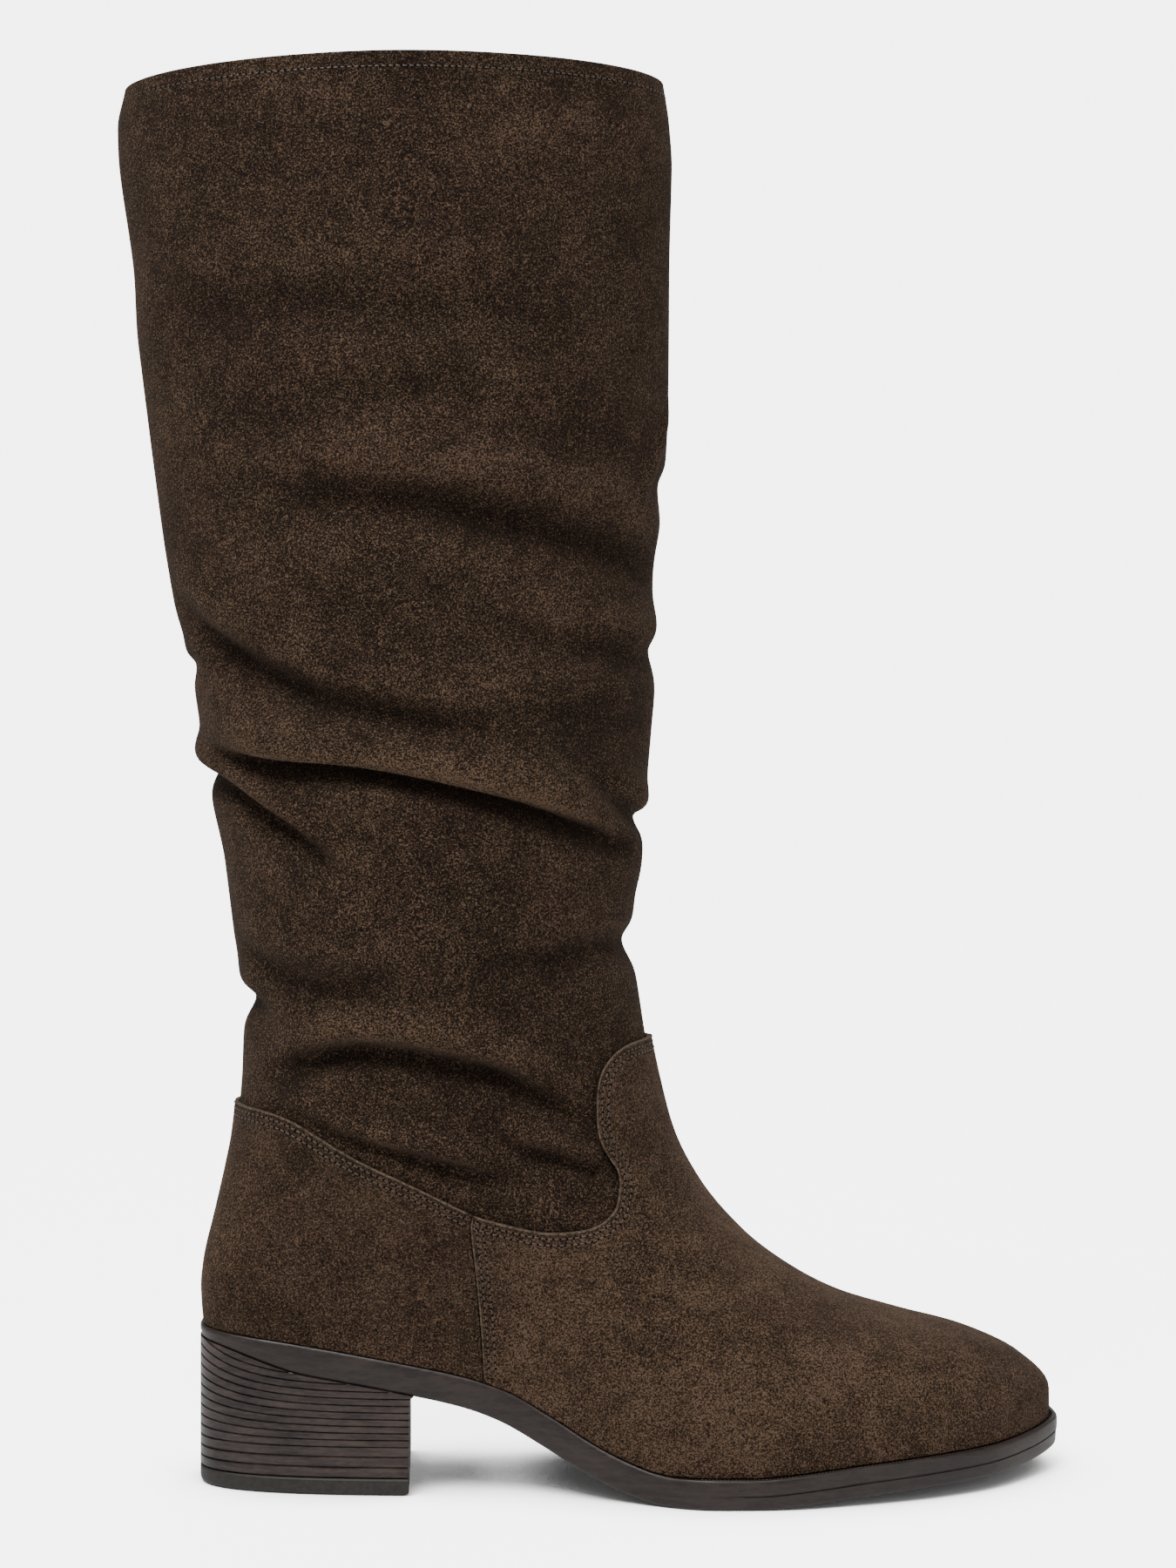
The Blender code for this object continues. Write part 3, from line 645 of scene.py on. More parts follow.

# %% [markdown]
# ## The shaft
#
# On the real boot the shaft is one suede panel and its lining, turned over together at the collar.
# The piece here is one closed wall: up the outside, over a rounded rim and down the inside to the
# sole. Low down, the vamp and the counter hide its outside, so only each sixth ring is kept there.
# The lining follows the deepest fold near it, so it stays inside the suede. Each point is marked
# with how far its fold pushes it out or in and how near it is to a lip, for the suede finish to
# read: ridges get painted light, troughs painted shade, and lips are paler as rubbed nap and
# painted highlight.

# %% Make the shaft and its lining
INSIDE_STEPS = 80
RIM_STEPS = 8
HIDDEN_RINGS = FOOT_RINGS // 4
HIDDEN_STEP = 6
RINGS_NEAR = range(-9, 10, 3)
POINTS_NEAR = (-4, 0, 4)
# How far a fold must push the suede out or in for its full painted light or shade, and how much paler
# its lip is painted, as rubbed nap and painted highlight.
FULL_FOLD_LIGHT_AT = 0.05 * ANKLE_WIDTH
LIP_RUB_AND_HIGHLIGHT = 2.2


def thinned(rows):
    """The rings of the outside, with only a few of those under the panels."""
    return np.concatenate((rows[0:HIDDEN_RINGS:HIDDEN_STEP], rows[HIDDEN_RINGS:]))


outer_rings = thinned(upper_rings)
deepest = outwards.copy()
for up in RINGS_NEAR:
    for aside in POINTS_NEAR:
        deepest = np.minimum(deepest, np.roll(np.roll(outwards, up, axis=0), aside, axis=1))
inner_all = plain_rings + normals * (deepest - UPPER_WALL)[:, :, None]
picks = np.linspace(len(upper_rings) - 1, 0, INSIDE_STEPS).astype(int)
inner_rings = inner_all[picks]
rim_rings = []
for step in range(1, RIM_STEPS):
    angle = math.pi * step / RIM_STEPS
    middle = (upper_rings[-1] + inner_rings[0]) / 2
    half = (upper_rings[-1] - inner_rings[0]) / 2
    rise = np.array((0.0, 0.0, UPPER_WALL / 2 * math.sin(angle)))
    rim_rings.append(middle + half * math.cos(angle) + rise)
wall = np.concatenate((outer_rings, np.stack(rim_rings), inner_rings, outer_rings[:1]))
shaft = skin("shaft", wall)
# Painted light and shade of the folds: ridges lighter, troughs darker, and lips paler as rubbed nap
# and painted highlight.
fold_light_and_rub = np.zeros(wall.shape[:2])
fold_light_and_rub[:len(outer_rings)] = thinned(outwards / FULL_FOLD_LIGHT_AT + LIP_RUB_AND_HIGHLIGHT * lips)
rub = shaft.data.attributes.new("rub", "FLOAT", "POINT")
rub.data.foreach_set("value", fold_light_and_rub.ravel())
turn_outwards(merge=True)
print("shaft", count_triangles(shaft), "triangles")

# %% [markdown]
# ## Vamp and counter
#
# Both are cut from the same form as the upper, laid on top of it. A cutter is drawn as an outline
# seen from the side and swept across the boot, and what lies inside it is kept. The faces that the
# cutter leaves are marked, because there the raw edge of the suede shows.

# %% Cut the vamp and the counter
CUTTER_REACH = 90 * MM
FAR_PAST = 60 * MM
EDGE_STEPS = 10
SEAT_STEPS = 90
PANEL_TOP = 0.06
PANEL_CREASE = math.radians(45)


def smooth_line(rows):
    """A curve through each row of an edge's table, as (x, z)."""
    points = [Vector((sole_x(row["at"]), ANKLE_HEIGHT * row["high"])) for row in rows]
    ends = [2 * points[0] - points[1]] + points + [2 * points[-1] - points[-2]]
    line = []
    for a, b, c, d in zip(ends, ends[1:], ends[2:], ends[3:]):
        for step in range(EDGE_STEPS):
            t = step / EDGE_STEPS
            line.append(0.5 * (2 * b + (c - a) * t + (2 * a - 5 * b + 4 * c - d) * t * t
                               + (3 * b - a - 3 * c + d) * t ** 3))
    return line + [points[-1]]


def seat_line(start, end):
    inside = [sole_x(i / SEAT_STEPS) for i in range(SEAT_STEPS + 1)]
    low, high = min(start, end), max(start, end)
    steps = [low] + [x for x in inside if low < x < high] + [high]
    line = [Vector((x, float(sole_top(x)) + GAP)) for x in steps]
    return line if start < end else line[::-1]


def keep_inside(made, outline):
    """Keeps what lies within an outline seen from the side."""
    near = [(p[0], -CUTTER_REACH, p[1]) for p in outline]
    far = [(p[0], CUTTER_REACH, p[1]) for p in outline]
    count = len(outline)
    faces = [tuple(range(count)), tuple(range(2 * count - 1, count - 1, -1))]
    faces += [(i, (i + 1) % count, count + (i + 1) % count, count + i) for i in range(count)]
    cutter = new_piece("cutter", near + far, faces)
    for face in cutter.data.polygons:
        face.material_index = 1
    step = made.modifiers.new("Cut", "BOOLEAN")
    step.operation = "INTERSECT"
    step.solver = "EXACT"
    step.material_mode = "INDEX"
    step.object = cutter
    apply_all(made)
    bpy.data.objects.remove(cutter, do_unlink=True)


def overlay(name, wall, outline):
    """A panel of the upper's own form, laid over it and cut to an outline."""
    top = FOOT_RINGS + int(PANEL_TOP * SHAFT_RINGS)
    foot = upper_rings[:top] + folded_normals[:top] * GAP
    made = skin(name, foot)
    shell = made.modifiers.new("Wall", "SOLIDIFY")
    shell.thickness = wall
    shell.offset = 1.0
    shell.use_quality_normals = True
    apply_all(made)
    keep_inside(made, outline)
    return made


folded_normals = ring_normals(upper_rings)
vamp_edge = smooth_line(VAMP_EDGE)
side_seam = smooth_line(SIDE_SEAM)
counter_edge = smooth_line(COUNTER_EDGE)
front_x = sole_x(1.0) + FAR_PAST
back_x = sole_x(0.0) - FAR_PAST
vamp_outline = (vamp_edge + [Vector((front_x, vamp_edge[-1][1]))]
                + seat_line(front_x, side_seam[-1][0]) + side_seam[-2:0:-1])
counter_seam = [p - Vector((GAP, 0)) for p in side_seam]
counter_outline = ([Vector((back_x, counter_edge[0][1]))] + counter_edge[1:-1] + counter_seam[:-1]
                   + seat_line(counter_seam[-1][0], back_x))
vamp = overlay("vamp_panel", VAMP_WALL, vamp_outline)
counter = overlay("counter_panel", COUNTER_WALL, counter_outline)
for panel in (vamp, counter):
    choose(panel)
    bpy.ops.object.shade_smooth_by_angle(angle=PANEL_CREASE)
    print(panel.name, count_triangles(panel), "triangles")

# %% [markdown]
# ## Stitches
#
# Two rows of thread hold the vamp and the counter down, and one row holds the turned collar. The
# rows follow the panels' edges, so each row is the edge's own line moved inwards. One stitch is
# modelled and copied, and each copy is laid on the surface below it and turned along the row. A
# flat dark copy between each two stitches is painted shade, standing for the needle hole where the
# thread goes down. A thin strip along each panel's edge is the cut suede, which shows as a paler
# line.

# %% Find lines on the surface
AHEAD_OF_TOE = 300 * MM
FRONT_STEPS = 60


def tree_of(made):
    mesh = made.data
    return BVHTree.FromPolygons([v.co for v in mesh.vertices], [p.vertices for p in mesh.polygons])


def ahead_at(line, i):
    """A line's direction at one of its points."""
    return (line[min(i + 1, len(line) - 1)] - line[max(i - 1, 0)]).normalized()


def moved_in(line, distance):
    """A line seen from the side, moved to its right-hand side by a distance."""
    moved = []
    for i, point in enumerate(line):
        ahead = ahead_at(line, i)
        side = Vector((ahead[1], -ahead[0]))
        moved.append(point + side * distance)
    return moved


def cast(tree, starts, direction):
    """The points where rays from the starts meet a surface."""
    hits = [tree.ray_cast(start, direction)[0] for start in starts]
    return [hit for hit in hits if hit is not None]


def on_side(tree, line, side):
    """Where a line seen from the side meets a surface: side is -1 for the outer one."""
    starts = [Vector((x, side * CUTTER_REACH, z)) for x, z in line]
    return cast(tree, starts, Vector((0, -side, 0)))


def round_front(tree, height, start, end):
    """Points round the front at one height, from one y to another."""
    places = [blend(start, end, step / FRONT_STEPS) for step in range(FRONT_STEPS + 1)]
    starts = [Vector((AHEAD_OF_TOE, y, height)) for y in places]
    return cast(tree, starts, Vector((-1, 0, 0)))


def spaced(points, pitch):
    """Points at an even spacing along a line in space."""
    out, left = [points[0]], pitch
    for a, b in zip(points, points[1:]):
        length = (b - a).length
        while length > left:
            a = a + (b - a) * (left / length)
            out.append(a)
            length, left = (b - a).length, pitch
        left -= length
    return out


vamp_tree = tree_of(vamp)
counter_tree = tree_of(counter)
shaft_tree = tree_of(shaft)
print("surfaces ready for sewing")

# %% Make one stitch and copy it along a row
STITCH_PITCH = 2.0 * MM
STITCH_SIZE = (1.05 * MM, 0.42 * MM, 0.36 * MM)
STITCH_SIDES = 6
STITCH_END_INSET = 0.22
STITCH_END_DOME = 0.16
# The flat patch that is painted dark as the shade inside a needle hole.
HOLE_SIZE = (0.48 * MM, 0.66 * MM, 0.12 * MM)
ROW_INSETS = (1.7 * MM, 3.6 * MM)
COUNTER_ROW_FROM = 0.03
CORD_INSET = 0.3 * MM
CORD_STEP = 0.9 * MM
CORD_THICK = 0.62 * MM
CORD_SIDES = 6
HEM = 4.0 * MM

bpy.ops.object.select_all(action="DESELECT")
bpy.ops.mesh.primitive_cylinder_add(vertices=STITCH_SIDES, radius=0.5, depth=1.0,
                                    rotation=(0, math.pi / 2, 0))
one = bpy.context.object
bpy.ops.object.transform_apply(rotation=True)
bpy.ops.object.mode_set(mode="EDIT")
bpy.ops.mesh.select_mode(type="FACE")
bpy.ops.mesh.select_all(action="DESELECT")
bpy.ops.object.mode_set(mode="OBJECT")
for face in one.data.polygons:
    face.select = abs(face.normal.x) > 0.9
bpy.ops.object.mode_set(mode="EDIT")
bpy.ops.mesh.inset(thickness=STITCH_END_INSET, depth=STITCH_END_DOME)
bpy.ops.object.mode_set(mode="OBJECT")
stitch_points = np.array([v.co[:] for v in one.data.vertices])
stitch_faces = [tuple(p.vertices) for p in one.data.polygons]
bpy.data.objects.remove(one, do_unlink=True)


def lie_on(tree, place, ahead):
    """The nearest point of a surface, and the directions along, across and off it."""
    middle, normal, _, _ = tree.find_nearest(place)
    across = normal.cross(ahead).normalized()
    return middle, (ahead, across, ahead.cross(across))


def sew(name, rows, tree, scale=1.0):
    """Stitches along rows of points, half sunk in the surface, each after a flat patch painted dark
    as the shade of its needle hole.
    """
    points, faces, finishes = [], [], []
    for row in rows:
        marks = spaced(row, STITCH_PITCH * scale)
        for a, b in zip(marks, marks[1:]):
            for finish, place, size in ((0, (a + b) / 2, STITCH_SIZE), (1, a, HOLE_SIZE)):
                middle, axes = lie_on(tree, place, (b - a).normalized())
                turned = np.array([axis * length * scale for axis, length in zip(axes, size)])
                base = len(points)
                points += (stitch_points @ turned + np.array(middle)).tolist()
                faces += [tuple(base + v for v in face) for face in stitch_faces]
                finishes += [finish] * len(stitch_faces)
    made = new_piece(name, points, faces)
    made.data.polygons.foreach_set("material_index", finishes)
    return made


def lay_cord(name, rows, tree):
    """A thin round strip along rows of points, half sunk in the surface."""
    points, faces = [], []
    for row in rows:
        marks = spaced(row, CORD_STEP)
        base = len(points)
        for i, mark in enumerate(marks):
            middle, (_, across, up) = lie_on(tree, mark, ahead_at(marks, i))
            for corner in range(CORD_SIDES):
                angle = 2 * math.pi * corner / CORD_SIDES
                out = across * math.cos(angle) + up * math.sin(angle)
                points.append(middle + out * CORD_THICK / 2)
        for i in range(len(marks) - 1):
            for c in range(CORD_SIDES):
                a = base + i * CORD_SIDES + c
                b = base + i * CORD_SIDES + (c + 1) % CORD_SIDES
                faces.append((a, b, b + CORD_SIDES, a + CORD_SIDES))
        last = len(points) - CORD_SIDES
        faces.append(tuple(range(base, base + CORD_SIDES)))
        faces.append(tuple(range(last, last + CORD_SIDES)))
    return new_piece(name, points, faces)


print("one stitch has", len(stitch_faces), "faces")

# %% Sew the rows and lay the cut edges
def panel_rows(inset):
    """Rows on the vamp and on the counter, at one distance inside their edges."""
    tongue = [p for p in moved_in(vamp_edge, inset) if p[1] < vamp_edge[-1][1] - inset]
    outer = on_side(vamp_tree, tongue, -1)
    inner = on_side(vamp_tree, tongue, 1)
    across = round_front(vamp_tree, vamp_edge[-1][1] - inset, outer[-1].y, inner[-1].y)
    seam = [p for p in moved_in(side_seam, -inset) if p[1] < side_seam[0][1] - inset]
    top = [p for p in moved_in(counter_edge, inset) if p[0] > sole_x(COUNTER_ROW_FROM)]
    on_vamp = [outer + across[1:-1] + inner[::-1]]
    on_vamp += [on_side(vamp_tree, seam, side) for side in (-1, 1)]
    return on_vamp, [on_side(counter_tree, top, side) for side in (-1, 1)]


vamp_rows, counter_rows = [], []
for inset in ROW_INSETS:
    on_vamp, on_counter = panel_rows(inset)
    vamp_rows += on_vamp
    counter_rows += on_counter
vamp_stitches = sew("vamp_stitches", vamp_rows, vamp_tree)
counter_stitches = sew("counter_stitches", counter_rows, counter_tree)
edge_rows = panel_rows(CORD_INSET)
vamp_raw_edge = lay_cord("vamp_raw_edge", edge_rows[0], vamp_tree)
counter_raw_edge = lay_cord("counter_raw_edge", edge_rows[1], counter_tree)
collar_ring = upper_rings[-1] - np.array((0, 0, HEM))
hem_row = [Vector(p) for p in collar_ring] + [Vector(collar_ring[0])]
collar_stitches = sew("collar_stitches", [hem_row], shaft_tree)
sewn = [vamp_stitches, counter_stitches, collar_stitches]
for piece in sewn + [vamp_raw_edge, counter_raw_edge]:
    print(piece.name, count_triangles(piece), "triangles")

# %% [markdown]
# ## Sole, heel and top lift
#
# The sole is moulded in two layers, with a thin parting line along the forepart and a narrow
# ledge on top where the upper stands. A groove runs inside the ledge, and a row of fine stitches
# lies on it round the forepart. At the very back the sole thins to an edge over the heel. Each
# level of the sole says how far it is drawn in, at which share of the thickness, and how much
# further the parting line goes in there. The two distances are in millimetres.
#
# The heel is a stack of thin layers, which shows as fine grooves. Its upper layers lean down
# towards the breast, as the sole does, and the breast runs up into the sole in a small hollow
# curve. The stack is drawn too tall and then trimmed along the line of the sole above it. A groove
# is a few pairs of a depth and a place across it, as shares, and the top lift is pairs of a
# distance drawn in and a height, in millimetres.

# %% Make the sole
SOLE_AROUND = 400
THINNER_AT_BACK = 5.0 * MM
THIN_UNTIL = 0.13
PARTING_FROM = sole_x(0.56)
PARTING_FADE = 20 * MM
WELT_INSET = 1.45 * MM
WELT_SCALE = 0.55
SOLE_CREASE = math.radians(38)


def seat_under(x):
    """The sole's lower face, which rises to a thin edge at the very back of the heel."""
    return sole_under(x) + THINNER_AT_BACK * ease(1 - sole_share(x) / THIN_UNTIL)


def plan_ring(inset, share, turns):
    """One ring of the sole at a share of its thickness, drawn in all round by inset."""
    outer = turns > 0
    along = (1 - np.cos(math.pi * turns)) / 2
    x = blend(sole_x(0) + inset, sole_x(1) - inset, along)
    full = np.where(along < 0.5, HEEL_FULLNESS, TOE_FULLNESS)
    reach = (sole_half(x, outer) - inset) * rounded_end(along, full)
    y = swing(x) + np.where(outer, -reach, reach)
    return np.stack((x, y, blend(seat_under(x), sole_top(x), share)), axis=1)


SOLE_LEVELS = table(
    "inset share parting",
    (0.90, 0.00, 0.0),
    (0.60, 0.03, 0.0),
    (0.42, 0.10, 0.0),
    (0.35, 0.20, 0.0),
    (0.25, 0.43, 0.0),
    (0.25, 0.45, 0.25),
    (0.20, 0.47, 0.25),
    (0.05, 0.50, 0.0),
    (0.00, 0.60, 0.0),
    (0.00, 0.86, 0.0),
    (0.15, 0.94, 0.0),
    (0.45, 0.99, 0.0),
    (0.80, 1.00, 0.0),
    (1.60, 1.00, 0.0),
    (1.95, 0.93, 0.0),
    (2.60, 0.90, 0.0),
    (3.80, 0.90, 0.0),
)
sole_turns = 2 * np.arange(SOLE_AROUND) / SOLE_AROUND - 1
sole_rings = []
for level in SOLE_LEVELS:
    ring = plan_ring(level["inset"] * MM, level["share"], sole_turns)
    deep = plan_ring((level["inset"] + level["parting"]) * MM, level["share"], sole_turns)
    shown = ease((ring[:, 0] - PARTING_FROM) / PARTING_FADE)[:, None]
    sole_rings.append(blend(ring, deep, shown))
sole = skin("sole", np.stack(sole_rings), caps=True)
bpy.ops.object.shade_smooth_by_angle(angle=SOLE_CREASE)
welt_ring = plan_ring(WELT_INSET, 1.0, sole_turns)
welt_row = [Vector(p) for p in np.roll(welt_ring, SOLE_AROUND // 2, axis=0) if p[0] > PARTING_FROM]
welt_stitches = sew("welt_stitches", [welt_row], tree_of(sole), WELT_SCALE)
print("sole", count_triangles(sole), "triangles")

# %% Make the heel and its top lift
HEEL_LENGTH = HEEL[1][0] - HEEL[0][0]
TOP_LIFT = LIFT[1][2]
HEEL_FOOT = TOP_LIFT + GAP
HEEL_LAYER = 3.05 * MM
HEEL_CHAMFER = 0.4 * MM
GROOVE_DEPTH = 0.45 * MM
GROOVE_WIDTH = 0.7 * MM
GROOVE_FORM = ((0.0, -0.5), (0.8, -0.22), (1.0, 0.0), (0.8, 0.22), (0.0, 0.5))
LIFT_FORM = ((1.6, 0.0), (0.9, 0.12), (0.35, 0.5), (0.05, 1.1), (0.0, 1.8), (0.0, 4.3), (0.35, 4.8))
HEEL_SIDE = 40
HEEL_CREASE = math.radians(30)
TRIM_FROM = sole_x(-0.02)
TRIM_TO = sole_x(0.3)
TRIM_STEPS = 40
TRIM_GAP = GAP / 4
LEAN_FROM = 14 * MM
LEAN_TO = 46 * MM
LEAN_DROP = 11 * MM
LEAN_REACH = 14 * MM
FILLET = 2.5 * MM


def heel_ring(inset, height):
    """One ring of the heel: the sole's own back, closed by a flat breast. High rings lean."""
    lean = LEAN_DROP * min(1.0, max(0.0, (height - LEAN_FROM) / (LEAN_TO - LEAN_FROM)))
    breast = sole_x(0) + HEEL_LENGTH - inset
    up = (height - lean - float(sole_under(breast))) / FILLET + 1
    breast += FILLET * (1 - math.sqrt(1 - min(1.0, max(0.0, up)) ** 2))
    steps = np.arange(HEEL_SIDE + 1) / HEEL_SIDE
    x = blend(sole_x(0) + inset, breast, 1 - np.cos(math.pi / 2 * steps))
    along = (x - inset - sole_x(0)) / (SOLE_LENGTH - 2 * inset)
    reach = rounded_end(along, HEEL_FULLNESS)
    outer = swing(x) - (sole_half(x, True) - inset) * reach
    inner = swing(x) + (sole_half(x, False) - inset) * reach
    z = height - lean * (1 - np.exp((sole_x(0) - x) / LEAN_REACH))
    return np.array(list(zip(x, outer, z)) + list(zip(x, inner, z))[:0:-1])


heel_rings = [heel_ring(HEEL_CHAMFER, HEEL_FOOT), heel_ring(0.0, HEEL_FOOT + HEEL_CHAMFER)]
layers = int((HEEL_RISE + SOLE_THICKNESS) / HEEL_LAYER)
for layer in range(1, layers):
    z = HEEL_FOOT + layer * HEEL_LAYER
    for inset, shift in GROOVE_FORM:
        heel_rings.append(heel_ring(inset * GROOVE_DEPTH, z + shift * GROOVE_WIDTH))
heel_rings.append(heel_ring(0.0, HEEL_FOOT + layers * HEEL_LAYER))
heel = skin("heel_stack", np.stack(heel_rings), caps=True)
trim_at = np.linspace(TRIM_FROM, TRIM_TO, TRIM_STEPS)
under = [Vector((x, float(seat_under(x)) - TRIM_GAP)) for x in trim_at]
keep_inside(heel, [Vector((back_x, -FAR_PAST)), Vector((back_x, under[0][1]))] + under
            + [Vector((under[-1][0], -FAR_PAST))])
bpy.ops.object.shade_smooth_by_angle(angle=HEEL_CREASE)
lift = skin("lift", np.stack([heel_ring(inset * MM, z * MM) for inset, z in LIFT_FORM]), caps=True)
bpy.ops.object.shade_smooth_by_angle(angle=HEEL_CREASE)
print("heel", count_triangles(heel), "lift", count_triangles(lift), "triangles")

# %% [markdown]
# ## Suede
#
# Suede is leather with its flesh side sanded into a short nap. It has no gloss. Brushed one way it
# is dark and the other way lighter, so it shows soft blotches and a fine grain of fibres. On the
# shaft, the folds' ridges are painted lighter and their troughs darker, as painted light and shade,
# and their lips paler, as rubbed nap and painted highlight. All of these are added up to one tone,
# which runs from the darkest brown to the palest. The shaft, the vamp and the counter are one suede
# at three levels of brown.
# The cut edges are paler, and the thread is the same brown, a little smoother. Each needle hole is
# a flat patch painted dark, as painted shade.

# %% Make the suede finishes
SUEDE_DARK = (0.0046, 0.0026, 0.0018)
SUEDE_RED = (0.0262, 0.0150, 0.0092)
SUEDE_OLIVE = (0.0245, 0.0153, 0.0084)
SUEDE_PALE = (0.0850, 0.0535, 0.0345)
EDGE_TONES = ((0.024, 0.0165, 0.0115), (0.100, 0.073, 0.051))
THREAD_TONE = (0.042, 0.030, 0.022)
HOLE_SHADE_TONE = (0.006, 0.004, 0.003)
LINING_TONES = ((0.045, 0.032, 0.024), (0.085, 0.062, 0.047))
BLOTCHED = 0.95
BRUSHED = 0.95
FIBROUS = 4.6
SPECKLED = 0.8
# How much the folds' painted light and shade, with the lips' rubbed nap and painted highlight, move
# the tone.
FOLD_LIGHT_AND_RUB_SHARE = 0.30
NAP_HEIGHT = 0.4 * MM


def make_suede(name, level, grain):
    """Napped suede: level is its brown from dark to pale, grain is how plain its fibres are."""
    suede = Finish(name, Roughness=1.0, Specular_IOR_Level=0.08, Sheen_Weight=0.06,
                   Sheen_Roughness=0.5, Sheen_Tint=(0.55, 0.40, 0.30))
    blotch = suede.noise(20 * MM, 3.0, 0.55, warp=0.4)
    brushed = suede.noise(4.5 * MM, 2.0, 0.6, warp=0.6)
    fibre = suede.noise(0.24 * MM, 1.0, 0.6)
    speck = suede.noise(0.50 * MM, 1.0, 0.6)
    # Painted light on the folds' ridges, painted shade in their troughs, and rubbed nap and painted
    # highlight on their lips.
    fold_light_and_rub = suede.attribute("rub")
    tone = (level + (blotch - 0.5) * BLOTCHED + (brushed - 0.5) * BRUSHED
            + (fibre - 0.5) * (FIBROUS * grain) + (speck - 0.5) * (SPECKLED * grain)
            + fold_light_and_rub * FOLD_LIGHT_AND_RUB_SHARE)
    hue = suede.noise(14 * MM, 2.0, 0.5, warp=0.6).above(0.36, 0.64)
    brown = suede.mix(hue, SUEDE_RED, SUEDE_OLIVE)
    dark = suede.mix(tone.above(-0.35, 0.60), SUEDE_DARK, brown)
    suede.set("Base Color", suede.mix(tone.above(0.40, 1.45), dark, SUEDE_PALE))
    suede.set("Roughness", 0.92 + (fibre - 0.5) * 0.1)
    suede.bump(fibre * 0.9 + speck * 0.35 + brushed * 0.6, NAP_HEIGHT)
    return suede


def mottled(name, size, tones, height, rough=0.6, **values):
    """A finish mottled between two tones in patches about as large as size, slightly raised."""
    finish = Finish(name, **values)
    finish.patches = finish.noise(size, 2.0, rough)
    finish.set("Base Color", finish.mix(finish.patches.above(0.3, 0.7), *tones))
    finish.bump(finish.patches, height)
    return finish


suede = make_suede("suede", 0.24, 1.15)
vamp_suede = make_suede("vamp suede", 0.64, 1.0)
counter_suede = make_suede("counter suede", 0.50, 0.9)
raw_edge = mottled("raw edge", 0.5 * MM, EDGE_TONES, 0.3 * MM, 0.7, Roughness=0.95,
                   Specular_IOR_Level=0.1)
thread = Finish("thread", Base_Color=THREAD_TONE, Roughness=0.42, Specular_IOR_Level=0.45)
thread.bump(thread.noise(0.3 * MM, 1.0, 0.5), 0.05 * MM)
# Needle holes are flat patches painted dark, as painted shade.
hole_shade = Finish("needle hole shade", Base_Color=HOLE_SHADE_TONE, Roughness=1.0, Specular_IOR_Level=0.0)
lining = mottled("lining", 0.7 * MM, LINING_TONES, 0.12 * MM, Roughness=0.85,
                 Specular_IOR_Level=0.25)
print("suede, thread and lining made")

# %% [markdown]
# ## Sole and heel finishes
#
# The sole and the heel are dark brown with a low gloss, finished with fine uneven streaks along
# their edge as on stacked leather. The top lift is matt rubber, a shade greener and greyer.

# %% Make the hard finishes
STACK_TONES = ((0.0068, 0.0041, 0.0034), (0.0400, 0.0262, 0.0220))
SOLE_TONES = ((0.0080, 0.0050, 0.0040), (0.0235, 0.0152, 0.0126))
RUBBER_TONES = ((0.0115, 0.0098, 0.0080), (0.0210, 0.0182, 0.0150))
INSOLE_TONES = ((0.10, 0.067, 0.043), (0.15, 0.105, 0.07))


def make_stack(name, tones, rough):
    """Dark leather with fine streaks along its layers, which also waver its roughness."""
    stack = Finish(name, Specular_IOR_Level=0.32)
    streak = stack.noise(6 * MM, 4.0, 0.65, stretch=(1, 1, 7), warp=0.3)
    fine = stack.noise(1.2 * MM, 2.0, 0.6, stretch=(1, 1, 4))
    broad = stack.noise(16 * MM, 1.0, 0.5)
    shade = streak * 0.5 + fine * 0.25 + broad * 0.25
    stack.set("Base Color", stack.mix(shade.above(0.37, 0.64), *tones))
    stack.set("Roughness", rough + (streak - 0.5) * 0.25)
    stack.bump(streak * 0.6 + fine * 0.4, 0.12 * MM)
    return stack


stack = make_stack("stacked heel", STACK_TONES, 0.42)
edge = make_stack("sole edge", SOLE_TONES, 0.44)
rubber = mottled("lift rubber", 0.8 * MM, RUBBER_TONES, 0.08 * MM, Specular_IOR_Level=0.3)
rubber.set("Roughness", 0.62 + (rubber.patches - 0.5) * 0.2)
sock = mottled("insole leather", 0.9 * MM, INSOLE_TONES, 0.08 * MM, Specular_IOR_Level=0.3)
sock.set("Roughness", 0.7 + (sock.patches - 0.5) * 0.2)
print("sole, heel, lift and insole finishes made")

# %% Give each piece its finish
def wear(made, *finishes):
    """Gives a piece its finishes, with the faces that were marked wearing the second one."""
    places = [face.material_index for face in made.data.polygons]
    made.data.materials.clear()
    for finish in finishes:
        made.data.materials.append(finish.material)
    made.data.polygons.foreach_set("material_index", [min(p, len(finishes) - 1) for p in places])


wear(shaft, suede, lining)
first_inner = (len(outer_rings) + len(rim_rings)) * AROUND
for face in shaft.data.polygons:
    if min(face.vertices) >= first_inner:
        face.material_index = 1
for panel, finish in ((vamp, vamp_suede), (counter, counter_suede)):
    wear(panel, finish, raw_edge)
for made, finish in ((sole, edge), (heel, stack), (lift, rubber)):
    wear(made, finish)
for made in sewn + [welt_stitches]:
    wear(made, thread, hole_shade)
for made in (vamp_raw_edge, counter_raw_edge):
    wear(made, raw_edge)
for slot in bpy.data.objects["insole"].material_slots:
    slot.material = sock.material
print("finishes given")

# %% [markdown]
# ## Which body and which solid
#
# The boot has no joints, so every piece rides on its one body. Each large piece hides the solid
# that it stands for.

# %% Tie the pieces to the frame
for made, node, slot in (
    (shaft, "upper", "suede"), (vamp, "vamp", "suede"), (counter, "counter", "suede"),
    (sole, "outsole", "sole"), (heel, "heel", "heel"), (lift, "top_lift", "top_lift"),
):
    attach(made, "root")
    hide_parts(node)
for made in sewn + [vamp_raw_edge, counter_raw_edge, welt_stitches]:
    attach(made, "root")
    "sole" if made == welt_stitches else "suede"
print("pieces tied")
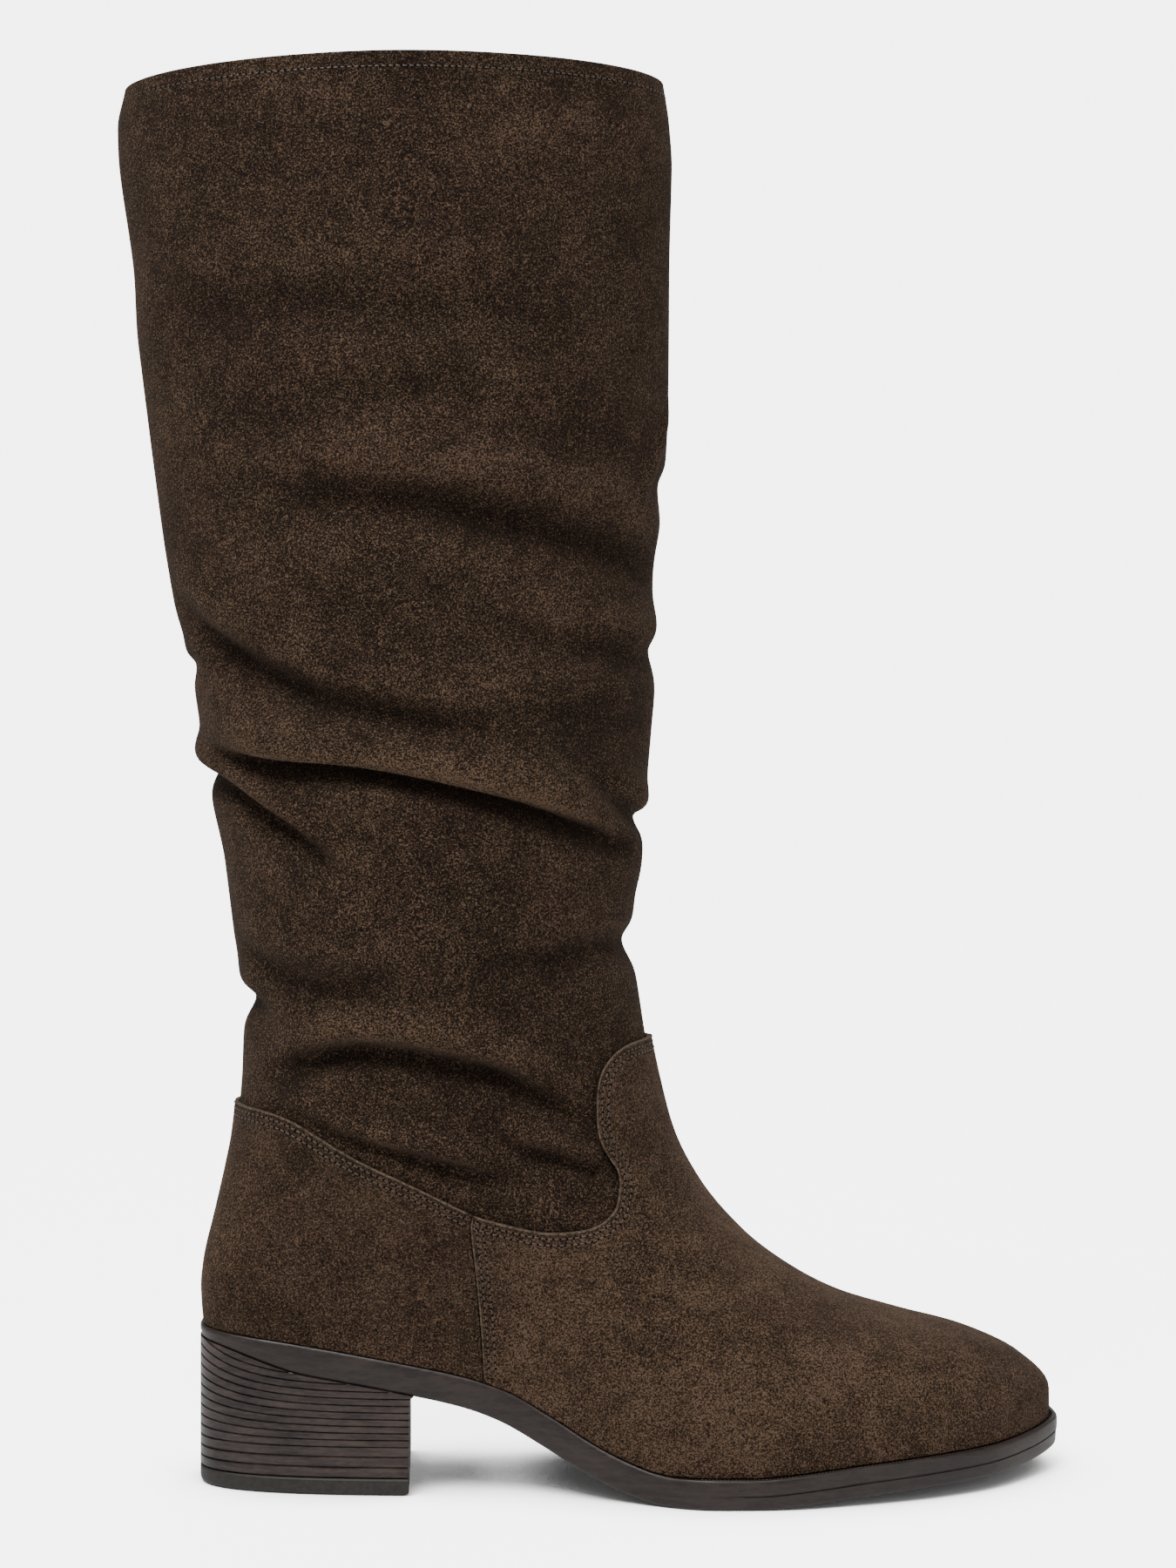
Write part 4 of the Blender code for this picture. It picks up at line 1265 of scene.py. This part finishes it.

# %% [markdown]
# ## Floor and light
#
# The floor is one sheet of paper that curves up far behind the boot, so no horizon shows. To the
# camera alone the paper and the world glow evenly pale, as in a studio where they are lit apart.
# Close under the boot, where little open sky reaches the paper, its glow is darkened into a painted
# shadow. The boot is lit by a dim even world, by one large soft lamp from the upper left in front,
# which gives the folds their form, by a weak one from the right and by another from behind.

# %% Lay the floor and hang the lamps
FLOOR_DROP = 0.2 * MM
FLOOR_WIDTH = 14.0
FLOOR_DEPTH = 8.0
BEND_STEPS = 12
BEND_STEP = 0.4
WALL_HEIGHT = 6.0
SHADOW_REACH = 35 * MM
SHADOW_OPEN = (0.22, 0.93)
PAPER_NEAR = (4.3, 4.3, 4.3)
PAPER_FAR = (5.0, 5.0, 5.0)
PAPER_SHADOW = (0.02, 0.02, 0.02)
PAPER_UNSEEN = (0.10, 0.10, 0.10)
FAR_AWAY = (0.2, 3.0)
WORLD_LIGHT = 0.32
WORLD_SEEN = 4.7

bpy.ops.object.select_all(action="DESELECT")
bpy.ops.mesh.primitive_plane_add(size=1.0, location=(0.1, 0.0, -FLOOR_DROP))
floor = bpy.context.object
floor.name = "floor"
floor.scale = (FLOOR_WIDTH, FLOOR_DEPTH, 1.0)
bpy.ops.object.transform_apply(scale=True)
bpy.ops.object.mode_set(mode="EDIT")
bpy.ops.mesh.select_mode(type="EDGE")
bpy.ops.mesh.select_all(action="DESELECT")
bpy.ops.object.mode_set(mode="OBJECT")
for side in floor.data.edges:
    ends = [floor.data.vertices[v].co.y for v in side.vertices]
    side.select = min(ends) > 0.49 * FLOOR_DEPTH
bpy.ops.object.mode_set(mode="EDIT")
angles = [math.radians(90) * (turn + 0.5) / BEND_STEPS for turn in range(BEND_STEPS)]
moves = [(0, BEND_STEP * math.cos(angle), BEND_STEP * math.sin(angle)) for angle in angles]
for move in moves + [(0, 0, WALL_HEIGHT)]:
    bpy.ops.mesh.extrude_region_move(TRANSFORM_OT_translate={"value": move})
turn_outwards()
bpy.ops.object.shade_smooth()
paper = Finish("paper", Base_Color=(0.80, 0.80, 0.80), Roughness=1.0, Specular_IOR_Level=0.0,
               Emission_Strength=1.0)
seen = Number(paper.add("ShaderNodeLightPath", {}, {}).outputs["Is Camera Ray"])
far = paper.axis(1).above(*FAR_AWAY)
# Painted shadow: close under the boot the paper's glow to the camera is darkened where little open
# sky reaches it.
occlusion = paper.add("ShaderNodeAmbientOcclusion", {"samples": 8}, {"Distance": SHADOW_REACH})
open_sky = Number(occlusion.outputs["AO"]).above(*SHADOW_OPEN)
glow_with_painted_shadow = paper.mix(open_sky, PAPER_SHADOW, paper.mix(far, PAPER_NEAR, PAPER_FAR))
paper.set("Emission Color", paper.mix(seen, PAPER_UNSEEN, glow_with_painted_shadow))
wear(floor, paper)

world = bpy.data.worlds.new("studio")
world.use_nodes = True
sky = world.node_tree.nodes["Background"]
looked_at = Number(world.node_tree.nodes.new("ShaderNodeLightPath").outputs["Is Camera Ray"])
plug(sky.inputs["Color"], (1.0, 1.0, 1.0))
plug(sky.inputs["Strength"], looked_at * WORLD_SEEN + WORLD_LIGHT)
bpy.context.scene.world = world

LAMP_SIZE = 1.2
LAMP_AIM = Vector((0.06, 0.0, 0.22))
LAMPS = table(
    "name place power",
    ("key", (-0.60, -1.30, 2.70), 148.0),
    ("fill", (1.5, -1.4, 0.7), 9.0),
    ("back", (0.4, 1.3, 1.7), 12.0),
)
for row in LAMPS:
    lamp = bpy.data.lights.new(row["name"], "AREA")
    lamp.shape = "SQUARE"
    lamp.size = LAMP_SIZE
    lamp.energy = row["power"]
    hung = bpy.data.objects.new(row["name"], lamp)
    hung.location = row["place"]
    aim = LAMP_AIM - Vector(row["place"])
    hung.rotation_euler = aim.to_track_quat("-Z", "Y").to_euler()
    bpy.context.scene.collection.objects.link(hung)
print("floor and lamps ready")
